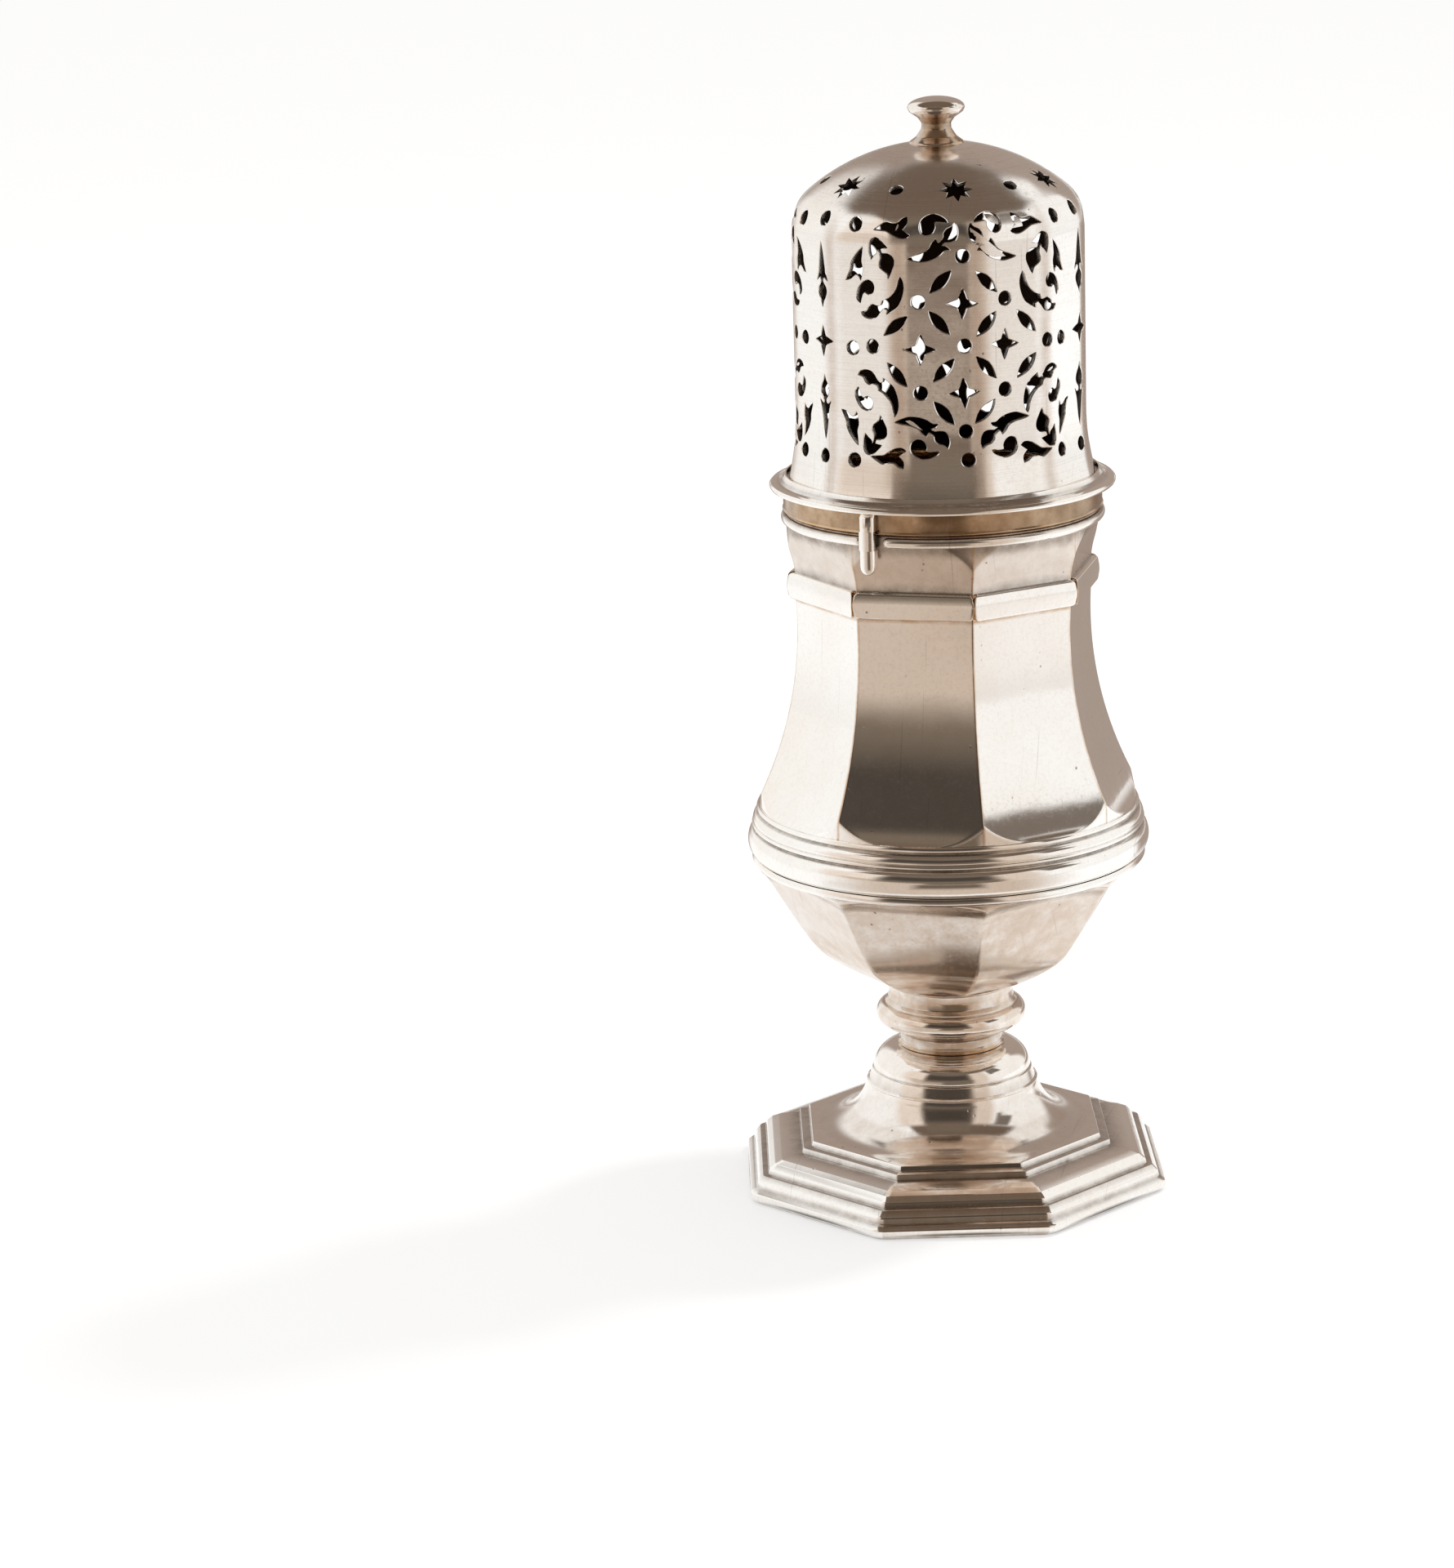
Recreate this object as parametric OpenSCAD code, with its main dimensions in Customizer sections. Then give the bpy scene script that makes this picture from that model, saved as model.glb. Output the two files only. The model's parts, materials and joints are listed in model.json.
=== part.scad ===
// Octagonal baluster sugar caster with a pierced, bayonet-locked cover.
// Millimetres, +Z up, origin on the table under the middle of the foot.
// A flat of the body faces -Y.

/* [Sheet and fits] */
// Thickness of the raised silver sheet
sheet = 0.9; // [0.7:0.05:1.2]
// Gap between the closed cover and the rim it sits on
seat_gap = 0.1; // [0.05:0.05:0.4]
// Radial gap between the turning cover and its inner sleeve
running_gap = 0.05; // [0.02:0.01:0.1]
// Gap round each bayonet lug where it slides past the rim
lug_gap = 0.3; // [0.25:0.05:0.5]

/* [Foot] */
// Foot across its flats at the table
foot_flats = 76.6; // [72:0.2:82]
// Turn of the foot octagon against the body octagon
foot_turn = 15; // [0:0.5:22]
// Thickness of the cast foot
foot_wall = 1.8; // [1.2:0.1:2.4]
// Height of the rounded plinth at the table
plinth_h = 2.4; // [1.6:0.1:4]
// Height of the hollow band over the plinth
foot_band_h = 2.6; // [1.6:0.1:4]
// Inward run of the hollow band
foot_band_run = 3.6; // [2.5:0.1:4.5]
// Height of the broad rounded step
foot_step_h = 3.0; // [2:0.1:4.5]
// Inward run of the broad rounded step
foot_step_run = 6.4; // [5:0.1:7.5]
// Height of each of the two small steps below the top
foot_fillet_h = 1.0; // [0.6:0.1:1.6]
// Inward run of each of the two small steps
foot_fillet_run = 1.0; // [0.6:0.1:1.6]
// Radius of the hollow sweep from the foot top up to the collar
foot_sweep_r = 10; // [8.5:0.1:11]
// Height that the sweep climbs
foot_sweep_h = 8.3; // [7:0.1:8.5]
// Flat ledge between the sweep and the foot's top edge
foot_ledge = 0.6; // [0.3:0.1:1.5]
// Height of the plain collar over the sweep
collar_h = 2.6; // [1.6:0.1:4]
// How far the collar draws in towards its top
collar_taper = 0.7; // [0.3:0.1:1.2]
// Height of the rounded shoulder over the collar
shoulder_h = 4.3; // [3:0.1:6]

/* [Stem] */
// Radius of the stem's narrowest part
stem_r = 9.3; // [8:0.1:10.4]
// Height of the stem from the foot to the knop's widest place
knop_rise = 6.2; // [5.6:0.1:8]
// Radius of the knop at its widest
knop_r = 13.8; // [13:0.1:16]
// Radius of the knop's rounded edge
knop_edge_r = 2.2; // [1.6:0.1:2.6]
// Height from the knop's widest place to the bowl's seat
seat_rise = 6.0; // [5:0.1:8]
// Radius of the seat under the bowl
seat_r = 11.4; // [10.6:0.1:12.2]

/* [Body] */
// Radius of the round drum where bowl and upper body meet
drum_r = 34.4; // [33:0.2:36]
// Height of the bowl from its seat to the seam
bowl_h = 28.1; // [26:0.1:31]
// Half width of the bowl across flats where its underside turns up
bowl_turn_r = 22.9; // [21:0.1:25]
// Height of that turn over the seat
bowl_turn_h = 7.1; // [6:0.1:9]
// Radius of the curve at that turn
bowl_curve_r = 12.5; // [10:0.5:13.5]
// Depth from the seam down to the bowl's round lip
lip_drop = 4.6; // [4:0.1:5.5]
// How far the lip stands out past the drum
lip_out = 1.4; // [0.8:0.1:1.8]
// Height of the lip
lip_h = 1.8; // [1.2:0.1:2.4]
// Height from the seam to the body's waist
waist_h = 40.5; // [38:0.5:44]
// Half width of the waist across flats
waist_flat_r = 25.0; // [24.2:0.1:25.6]
// Radius of the long hollow flare below the waist
flare_r = 70; // [60:1:80]
// Height from the waist to the applied strips
strip_rise = 4.8; // [3:0.1:7]
// Height of the applied strips round the neck
strip_h = 4.9; // [3.5:0.1:6.5]
// Thickness of the applied strips
strip_t = 1.2; // [0.8:0.1:1.8]
// Height of the flared neck over the strips
neck_h = 10.7; // [9.8:0.1:12]
// Radius of the hollow flare of the neck
neck_flare_r = 22; // [20:0.5:24]
// How far the neck's flats stand in from the mouth at the rim
neck_in = 0.35; // [0.2:0.05:0.6]
// Outer radius of the round mouth
mouth_r = 28.3; // [27.8:0.1:29]

/* [Girdle] */
// How far the girdle's main bead stands out past the drum
bead_out = 2.3; // [1.8:0.1:3.5]
// Half height of the main bead
bead_half_h = 2.4; // [1.8:0.1:2.6]
// Height of the ovolo and reed over the bead
ovolo_h = 3.4; // [2.6:0.1:4]

/* [Bayonet] */
// Thickness of the rim wire
wire_d = 1.9; // [1.4:0.1:2.2]
// How far the rim wire stands out past the mouth
wire_out = 0.87; // [0.7:0.01:1.2]
// Height of the rim over the middle of the wire
wire_drop = 1.3; // [1.2:0.1:2]
// Width of each bayonet lug
lug_w = 2.4; // [1.8:0.1:3.2]
// Thickness of the lug's strap
lug_t = 1.3; // [1:0.1:1.8]
// Height of the lug's nose
nose_h = 4.5; // [1.4:0.1:5]
// Spare room in the notch on the far side of the lug
notch_spare = 0.9; // [0.6:0.1:3.5]
// Angle of the first lug from the front flat
lug_angle = -14.6; // [-40:0.1:40]

/* [Cover] */
// Height of the plain band under the flange
band_h = 3.9; // [3:0.1:6]
// Depth of the small bead at the foot of the band
band_bead = 0.2; // [0.1:0.05:0.3]
// How far the plain band stands out past the mouth
band_out = 0.4; // [0.2:0.05:0.6]
// How far the flange's lip stands out past the band
flange_out = 2.5; // [2:0.1:4]
// Thickness of the flange under the cover's wall
flange_t = 1.6; // [1.2:0.1:2.4]
// Height of the upstand that hugs the foot of the wall
upstand_h = 1.0; // [0.6:0.1:1.6]
// How far the inner sleeve stands in from the neck's flats at its lower end
sleeve_in = 1.3; // [1.2:0.05:1.8]
// Depth of the sleeve below the rim
sleeve_depth = 3.8; // [2:0.1:4.2]
// How far the soft facets of the pierced wall stand in from the mouth's outside
wall_in = 2.4; // [1.9:0.1:2.8]
// How far the wall's rounded corners stand past the facets
wall_soft = 0.5; // [0.3:0.05:0.7]
// Height of the wall from the flange to the shoulder
wall_h = 44.6; // [43.6:0.2:48]
// Height of the flared foot of the wall
wall_flare_h = 13; // [10:0.2:15]
// Spread of the flared foot of the wall
wall_flare = 1.6; // [1:0.1:1.9]
// Radius of the dome's shoulder
dome_shoulder_r = 9; // [7:0.2:11]
// Radius of the dome's crown
dome_crown_r = 36; // [34:0.5:42]
// Turn of the soft facets against the pierced pattern
facet_turn = 5; // [0:0.5:15]
// Angle of the middle of the pierced lattice from the front flat
lattice_angle = 21.2; // [0:0.1:60]

/* [Piercing] */
// Pitch of the lattice round the cover, in degrees
lattice_turn = 17.2; // [16.4:0.1:18]
// Pitch of the lattice up the cover
lattice_rise = 7.7; // [7.2:0.1:8]
// Height of the lattice's middle row over the flange
lattice_mid_h = 27.6; // [26.8:0.1:28.4]
// Radius of the round holes
hole_r = 1.25; // [0.9:0.05:1.4]
// Half width of the four-pointed stars
star_r = 2.75; // [2.2:0.05:2.9]
// Length of the lattice leaves
leaf_l = 4.9; // [4:0.1:5.2]
// Half width of the eight-pointed stars in the dome
dome_star_r = 2.6; // [2:0.1:2.8]
// Distance of the dome's stars and holes from the axis
dome_ring_r = 20; // [18.5:0.1:21]

/* [Finial] */
// Radius of the finial's base
finial_base_r = 4.9; // [4:0.1:6]
// Radius of the finial's neck
finial_neck_r = 2.6; // [2:0.1:3.2]
// Radius of the finial's button
finial_button_r = 5.1; // [4.2:0.1:6.2]
// Height of the finial over the dome
finial_h = 8.2; // [7.4:0.1:10]
// Radius of the peg riveted through the dome
finial_peg_r = 1.5; // [1:0.1:1.8]

/* [Hidden] */
$fn = 96;
body_sides = 8;
cover_sides = 12;
repeats = 3;
lugs = 2;
arc_steps = 10;
past = 1;

foot_r = foot_flats / 2;
foot_band_z = plinth_h + foot_band_h;
foot_step_z = foot_band_z + foot_step_h;
foot_band_r = foot_r - foot_band_run;
foot_step_r = foot_band_r - foot_step_run;
foot_top_r = foot_step_r - 2 * foot_fillet_run;
foot_top_z = foot_step_z + 2 * foot_fillet_h;
collar_r = foot_top_r - foot_sweep_r - foot_ledge;
collar_z = foot_top_z + foot_sweep_h;
shoulder_z = collar_z + collar_h;
stem_z = shoulder_z + shoulder_h;
knop_z = stem_z + knop_rise;
seat_z = knop_z + seat_rise;

seam_z = seat_z + bowl_h;
lip_z = seam_z - lip_drop;
lip_r = drum_r + lip_out;
bead_r = drum_r + bead_out;
waist_z = seam_z + waist_h;
strip_z = waist_z + strip_rise;
neck_z = strip_z + strip_h;
rim_z = neck_z + neck_h;
strip_flat_r = waist_flat_r + flare_r - sqrt(pow(flare_r, 2) - pow(strip_rise, 2));
strip_out_r = strip_flat_r + strip_t;
neck_spread = mouth_r - neck_in - strip_flat_r;
neck_half_arc = asin(norm([neck_spread, neck_h]) / (2 * neck_flare_r));
neck_start = atan2(neck_spread, neck_h) - neck_half_arc;

wire_r = wire_d / 2;
wire_z = rim_z - wire_drop;
wire_out_r = mouth_r + wire_out;
wire_ring_r = wire_out_r - wire_r;
nose_top_z = wire_z - wire_r - lug_gap;
nose_low_z = nose_top_z - nose_h;
nose_in_r = mouth_r + lug_gap;
strap_r = wire_out_r + lug_gap;
notch_lead = asin((lug_w / 2 + lug_gap) / mouth_r);
notch_tail = asin((lug_w / 2 + lug_gap + notch_spare) / mouth_r);

band_r = mouth_r + band_out;
flange_r = band_r + flange_out;
sleeve_r = neck_flat(neck_h - sleeve_depth) - sleeve_in;
wall_flat_r = mouth_r - wall_in;
band_z = rim_z + seat_gap;
flange_z = band_z + band_h;
wall_z = flange_z + flange_t;
wall_r = wall_flat_r + wall_soft;
wall_base_r = wall_r + wall_flare;
shoulder_top_z = wall_z + wall_h;
wall_flare_r = (pow(wall_flare_h, 2) + pow(wall_flare, 2)) / (2 * wall_flare);
crown_rise = sqrt(pow(dome_crown_r - dome_shoulder_r, 2) - pow(wall_r - dome_shoulder_r, 2));
crown_z = shoulder_top_z - crown_rise;
crown_turn = atan2(crown_rise, wall_r - dome_shoulder_r);
finial_z = crown_z + sqrt(pow(dome_crown_r, 2) - pow(finial_base_r, 2));
lattice_z = wall_z + lattice_mid_h;
edge_row = 2.7 * lattice_rise;
dome_ring_z = crown_z + sqrt(pow(dome_crown_r, 2) - pow(dome_ring_r, 2));
dome_tilt = acos(dome_ring_r / dome_crown_r);

silver = [0.80, 0.78, 0.75];
warm_silver = [0.76, 0.72, 0.66];
tarnished = [0.66, 0.58, 0.47];

// Points of an arc round [x, z], from angle a0 to angle a1
function arc(x, z, r, a0, a1) =
    [for (i = [0 : arc_steps])
        let (a = a0 + (a1 - a0) * i / arc_steps)
        [x + r * cos(a), z + r * sin(a)]];

// Points of a hollow flare that starts upright at [x, z] and spreads outwards, between two heights from z
function flare(x, z, r, h0, h1) =
    [for (i = [0 : arc_steps])
        let (h = h0 + (h1 - h0) * i / arc_steps)
        [x + r - sqrt(pow(r, 2) - pow(h, 2)), z + h]];

// Half width of the neck's flats at a height over the strips, on an arc from the strips to the rim
function neck_flat(h) =
    let (turn = asin(sin(neck_start) + h / neck_flare_r))
    strip_flat_r + neck_flare_r * (cos(neck_start) - cos(turn));

// A half outline followed by its mirror image
function both_halves(half) =
    concat(half, [for (i = [len(half) - 1 : -1 : 0]) [-half[i][0], half[i][1]]]);

// A moulded prism: the drawing's half widths are the prism's half widths across flats
module flat_sided(sides, reach) {
    intersection_for (k = [0 : sides / 2 - 1])
        rotate([0, 0, k * 360 / sides])
            rotate([90, 0, 0])
                linear_extrude(height = 2 * reach, center = true)
                    children(0);
}

// Stepped outline of the octagonal foot
module foot_outline() {
    bead = 0.5;
    polygon(both_halves([
        [foot_r, 0],
        [foot_r, plinth_h * 0.4],
        [foot_r - bead, plinth_h * 0.8],
        [foot_r - 2 * bead, plinth_h],
        [foot_r - 0.45 * foot_band_run, plinth_h + 0.25 * foot_band_h],
        [foot_r - 0.75 * foot_band_run, plinth_h + 0.6 * foot_band_h],
        [foot_band_r + bead, foot_band_z],
        [foot_band_r, foot_band_z],
        [foot_band_r - 0.1 * foot_step_run, foot_band_z + 0.45 * foot_step_h],
        [foot_band_r - 0.4 * foot_step_run, foot_band_z + 0.8 * foot_step_h],
        [foot_step_r, foot_step_z],
        [foot_step_r, foot_step_z + foot_fillet_h],
        [foot_step_r - foot_fillet_run, foot_step_z + foot_fillet_h],
        [foot_step_r - foot_fillet_run, foot_top_z]
    ]));
}

// Hollow under the octagonal foot
module foot_hollow_outline() {
    polygon(both_halves([
        [foot_r - foot_wall, -past],
        [foot_r - foot_wall, plinth_h - foot_wall / 2],
        [foot_band_r - foot_wall, foot_band_z - foot_wall],
        [foot_step_r - foot_wall, foot_step_z - foot_wall],
        [foot_step_r - foot_wall, foot_top_z - foot_wall]
    ]));
}

module foot() {
    sweep_x = collar_r + foot_sweep_r;
    sweep_end = 180 + asin((foot_sweep_r - foot_sweep_h) / foot_sweep_r);
    shoulder_r = collar_r - 1.5 * collar_taper;
    color(warm_silver)
        difference() {
            union() {
                rotate([0, 0, foot_turn])
                    flat_sided(body_sides, foot_r + past)
                        foot_outline();
                rotate_extrude()
                    polygon(concat(
                        [[0, foot_step_z], [sweep_x, foot_step_z]],
                        arc(sweep_x, foot_top_z + foot_sweep_r, foot_sweep_r, 270, sweep_end),
                        [[collar_r - collar_taper, shoulder_z]],
                        [for (i = [0 : arc_steps])
                            let (a = 90 * i / arc_steps)
                            [stem_r + (shoulder_r - stem_r) * cos(a), shoulder_z + shoulder_h * sin(a)]],
                        [[0, stem_z]]
                    ));
            }
            rotate([0, 0, foot_turn])
                flat_sided(body_sides, foot_r + past)
                    foot_hollow_outline();
            translate([0, 0, foot_step_z - foot_wall])
                cylinder(r = collar_r - foot_wall, h = shoulder_z - foot_step_z);
        }
}

module stem_knop() {
    ring = 0.3;
    cove_z = knop_z + knop_edge_r;
    color(warm_silver)
        rotate_extrude()
            polygon(concat(
                [[0, stem_z], [stem_r, stem_z], [stem_r + ring, stem_z + ring], [stem_r, stem_z + 2 * ring]],
                [[stem_r, knop_z - knop_edge_r - 2 * ring], [knop_r - knop_edge_r, knop_z - knop_edge_r]],
                arc(knop_r - knop_edge_r, knop_z, knop_edge_r, -80, 60),
                [[seat_r + 2 * ring, cove_z - ring], [seat_r + 3 * ring, cove_z + ring],
                 [seat_r + ring, cove_z + 3 * ring], [seat_r, seat_z], [0, seat_z]]
            ));
}

// Outline of the bowl's flat sides, drawn in by a wall
module bowl_outline(wall) {
    turn_z = seat_z + bowl_turn_h;
    lip_mid_z = lip_z + lip_h / 2;
    side = atan2(drum_r - bowl_turn_r, lip_mid_z - turn_z);
    seam_r = drum_r + (seam_z - lip_mid_z) * tan(side);
    r = bowl_curve_r - wall;
    x = bowl_turn_r - bowl_curve_r * cos(side);
    z = turn_z + bowl_curve_r * sin(side);
    polygon(both_halves(concat(
        [[seat_r - wall, seat_z + wall]],
        arc(x, z, r, -80, -side),
        [[seam_r - wall, seam_z]]
    )));
}

module bowl() {
    color(silver)
        difference() {
            union() {
                intersection() {
                    flat_sided(body_sides, lip_r + lip_drop)
                        bowl_outline(0);
                    translate([0, 0, seat_z])
                        cylinder(r = drum_r, h = seam_z - seat_z);
                }
                translate([0, 0, lip_z])
                    cylinder(r = lip_r, h = lip_h);
            }
            intersection() {
                flat_sided(body_sides, lip_r + lip_drop)
                    bowl_outline(sheet);
                translate([0, 0, seat_z])
                    cylinder(r = drum_r - sheet, h = seam_z - seat_z);
            }
            translate([0, 0, lip_z])
                cylinder(r = drum_r - sheet, h = seam_z - lip_z + past);
        }
}

module girdle_moulding() {
    bottom_z = lip_z + lip_h;
    bead_z = bottom_z + bead_half_h;
    reed_z = bead_z + bead_half_h;
    top_z = reed_z + ovolo_h;
    bead_in_r = bead_r - bead_half_h / 2;
    reed = 0.25;
    color(silver)
        rotate_extrude()
            polygon(concat(
                [[drum_r, bottom_z]],
                [for (i = [0 : arc_steps])
                    let (a = -90 + 180 * i / arc_steps)
                    [bead_in_r + (bead_r - bead_in_r) * cos(a), bead_z + bead_half_h * sin(a)]],
                [[bead_in_r + reed, reed_z + reed], [bead_in_r, reed_z + 2 * reed],
                 [bead_in_r + reed, reed_z + 3 * reed], [bead_in_r, reed_z + ovolo_h / 2],
                 [drum_r + reed, top_z - 2 * reed], [drum_r + 2 * reed, top_z - reed], [drum_r, top_z]]
            ));
}

// Outline of the upper body's flat sides, drawn in by a wall
module body_outline(wall) {
    polygon(both_halves(concat(
        flare(waist_flat_r - wall, waist_z, flare_r, -waist_h - wall, strip_rise),
        [for (i = [0 : arc_steps])
            let (h = (neck_h + wall) * i / arc_steps)
            [neck_flat(h) - wall, neck_z + h]]
    )));
}

// Round limits of the upper body: the drum below, the mouth above
module body_round(wall) {
    translate([0, 0, seam_z - wall])
        cylinder(r = drum_r - wall, h = strip_z - seam_z);
    translate([0, 0, strip_z - wall])
        cylinder(r = mouth_r - wall, h = neck_h + strip_h + 2 * wall);
}

module upper_body() {
    mouth_ring_h = wire_drop + wire_r;
    color(silver)
        difference() {
            union() {
                intersection() {
                    flat_sided(body_sides, drum_r + past)
                        body_outline(0);
                    body_round(0);
                }
                translate([0, 0, rim_z - mouth_ring_h])
                    cylinder(r = mouth_r, h = mouth_ring_h);
            }
            intersection() {
                flat_sided(body_sides, drum_r + past)
                    body_outline(sheet);
                body_round(sheet);
            }
        }
}

// One applied strip on flat k, mitred to its neighbours
module neck_strip(k) {
    mitre = tan(180 / body_sides);
    edge = strip_t / 3;
    reach = strip_out_r + past;
    color(warm_silver)
        rotate([0, 0, k * 360 / body_sides])
            intersection() {
                rotate([90, 0, 90])
                    linear_extrude(height = 2 * reach * mitre, center = true)
                        polygon([
                            [-strip_flat_r, strip_z],
                            [-strip_out_r + edge, strip_z],
                            [-strip_out_r, strip_z + edge],
                            [-strip_out_r, neck_z - 2 * edge],
                            [-strip_out_r + edge, neck_z - edge],
                            [-strip_flat_r, neck_z]
                        ]);
                translate([0, 0, strip_z])
                    linear_extrude(height = strip_h)
                        polygon([[0, 0], [-reach * mitre, -reach], [reach * mitre, -reach]]);
            }
}

// One half of the rim wire, between the notches
module rim_wire(k) {
    span = 180 - notch_lead - notch_tail;
    color(silver)
        rotate([0, 0, lug_angle - 90 + notch_tail + k * 360 / lugs])
            rotate_extrude(angle = span)
                difference() {
                    translate([wire_ring_r, wire_z])
                        circle(r = wire_r);
                    translate([mouth_r - wire_d, wire_z - wire_d])
                        square([wire_d, 2 * wire_d]);
                }
}

module cover_sleeve() {
    color(tarnished)
        translate([0, 0, rim_z - sleeve_depth])
            difference() {
                cylinder(r = sleeve_r, h = wall_z - rim_z + sleeve_depth);
                translate([0, 0, -past])
                    cylinder(r = sleeve_r - sheet, h = wall_z - rim_z + sleeve_depth + 2 * past);
            }
}

module cover_band() {
    color(tarnished)
        rotate_extrude()
            polygon([
                [band_r - sheet, band_z],
                [band_r, band_z],
                [band_r + band_bead, band_z + band_bead],
                [band_r + band_bead, band_z + 2 * band_bead],
                [band_r, band_z + 3 * band_bead],
                [band_r, flange_z],
                [band_r - sheet, flange_z]
            ]);
}

module cover_flange() {
    bore_r = sleeve_r + running_gap;
    lip = flange_t / 2;
    hollow_h = wall_z + upstand_h - flange_z - 1.4 * lip;
    hollow_w = flange_r - lip / 2 - wall_base_r;
    color(silver)
        rotate_extrude()
            polygon(concat(
                [[bore_r, flange_z], [flange_r - lip, flange_z], [flange_r - lip / 4, flange_z + lip / 4],
                 [flange_r, flange_z + lip * 0.8], [flange_r - lip / 2, flange_z + 1.4 * lip]],
                [for (i = [1 : arc_steps - 1])
                    let (a = 90 * i / arc_steps)
                    [flange_r - lip / 2 - hollow_w * sin(a), wall_z + upstand_h - hollow_h * cos(a)]],
                [[wall_base_r, wall_z + upstand_h], [wall_base_r, wall_z], [bore_r, wall_z]]
            ));
}

// Half outline of the cover: flared foot, wall, shoulder and crown, drawn in from its round outline
function cover_half(inset) =
    let (r = wall_r - inset, shoulder = dome_shoulder_r - inset, crown = dome_crown_r - inset)
    concat(
        [for (i = [0 : 4])
            let (h = wall_flare_h * (1 - i / 4))
            [r + wall_flare_r - sqrt(pow(wall_flare_r, 2) - pow(h, 2)), wall_z + wall_flare_h - h]],
        arc(wall_r - dome_shoulder_r, shoulder_top_z, shoulder, 0, crown_turn),
        [for (i = [1 : arc_steps])
            let (a = crown_turn + (90 - crown_turn) * i / arc_steps)
            [crown * cos(a), crown_z + crown * sin(a)]]
    );

// Outline of the cover's soft facets
module facet_outline() {
    top_z = crown_z + dome_crown_r + past;
    polygon(both_halves(concat(
        [for (i = [0 : 4])
            let (h = wall_flare_h * (1 - i / 4))
            [wall_flat_r + wall_flare_r - sqrt(pow(wall_flare_r, 2) - pow(h, 2)), wall_z + wall_flare_h - h]],
        [[wall_flat_r, top_z]]
    )));
}

// Piercing motifs, drawn flat with their own middle at the origin
module round_hole() {
    circle(r = hole_r);
}

module pointed_star(points, r, waist) {
    polygon([for (i = [0 : 2 * points - 1])
        let (a = 180 * i / points, q = i % 2 == 0 ? r : r * waist)
        [q * sin(a), q * cos(a)]]);
}

module lattice_leaf(lean) {
    w = 0.43 * leaf_l;
    r = (pow(leaf_l, 2) + pow(w, 2)) / (4 * w);
    rotate(lean)
        intersection() {
            translate([r - w / 2, 0])
                circle(r = r);
            translate([w / 2 - r, 0])
                circle(r = r);
        }
}

// A leaf with its point at the top and a forked foot
module forked_leaf(l, w) {
    polygon([[0, l / 2], [w / 2, -l / 8], [w * 0.6, -l / 2], [w / 5, -l / 4],
             [-w / 4, -l * 0.55], [-w / 2, -l / 8]]);
}

// A round head with a tail that curls over it to the left and down
module curl(r) {
    circle(r = r);
    polygon([[r * 0.9, r * 0.3], [0, r * 1.3], [-r * 1.3, r * 1.2], [-r * 2.1, -r * 0.6],
             [-r * 1.3, r * 0.3], [-r * 0.5, r * 0.6]]);
}

// A bent sprig of two leaves that climbs to the left
module sprig(l, w) {
    polygon([[l / 2, -w], [l / 6, w * 0.1], [w * 0.2, w * 0.6], [-w * 0.1, w * 0.1],
             [-l / 4, w * 0.6], [-l / 2, w * 1.8], [-l * 0.45, w * 0.2],
             [-w * 0.3, -w * 0.5], [l / 8, -w * 0.8]]);
}

// A spearhead with its point at the top and two barbs
module spear(l, w) {
    polygon([[0, l / 2], [w / 3, -l / 6], [w / 2, -l / 2], [w / 6, -l * 0.36],
             [-w / 6, -l * 0.36], [-w / 2, -l / 2], [-w / 3, -l / 6]]);
}

// A bud with its point at the foot
module bud(l, w) {
    polygon([[0, -l / 2], [w / 2, l / 8], [w / 4, l / 2], [-w / 4, l / 2], [-w / 2, l / 8]]);
}

// Drives a motif out through the wall; side or up of -1 places its mirror image to the left or below
module pierce(angle, height, side = 1, up = 1) {
    inside = wall_flat_r * 0.7;
    rotate([0, 0, side * angle])
        translate([0, -inside, lattice_z + up * height])
            rotate([90, 0, 0])
                linear_extrude(height = wall_base_r - inside + past)
                    mirror([1 - side, 0])
                        mirror([0, 1 - up])
                            children();
}

// Holes, stars and leaves in the middle of each third of the cover
module lattice() {
    for (p = [[0, 0], [0, 2], [0, -2], [0, -edge_row / lattice_rise], [1, 1], [-1, 1], [1, -1], [-1, -1]])
        pierce(p[0] * lattice_turn, p[1] * lattice_rise)
            round_hole();
    for (p = [[0, 1], [0, -1], [1, 0], [-1, 0]])
        pierce(p[0] * lattice_turn, p[1] * lattice_rise)
            pointed_star(4, star_r, 0.3);
    for (i = [-1 : 2], j = [-1 : 2])
        if (abs(i - 0.5) + abs(j - 0.5) < 3)
            pierce((i - 0.5) * lattice_turn, (j - 0.5) * lattice_rise)
                lattice_leaf((i + j) % 2 == 0 ? -45 : 45);
}

// Scrolling leaves in one quarter beside the lattice
module scroll_quarter(side, up) {
    t = lattice_turn;
    h = lattice_rise;
    pierce(2.5 * t, edge_row, side, up)
        round_hole();
    pierce(1.6 * t, edge_row, side, up)
        rotate(-90)
            forked_leaf(0.78 * h, 0.36 * h);
    pierce(2.47 * t, 1.83 * h, side, up)
        rotate(8)
            forked_leaf(0.75 * h, 0.34 * h);
    pierce(1.98 * t, 2.22 * h, side, up)
        mirror([1, 0])
            curl(0.12 * h);
    pierce(1.76 * t, 1.76 * h, side, up)
        rotate(195)
            forked_leaf(0.57 * h, 0.29 * h);
    pierce(2.27 * t, 1.22 * h, side, up)
        mirror([1, 0])
            curl(0.15 * h);
    pierce(1.52 * t, 1.15 * h, side, up)
        rotate(12)
            forked_leaf(0.83 * h, 0.31 * h);
    pierce(2.12 * t, 0.7 * h, side, up)
        rotate(-100)
            bud(0.44 * h, 0.29 * h);
    pierce(0.78 * t, edge_row, side, up)
        curl(0.16 * h);
    pierce(0.7 * t, 2.26 * h, side, up)
        rotate(-12)
            sprig(0.96 * h, 0.17 * h);
}

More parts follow.
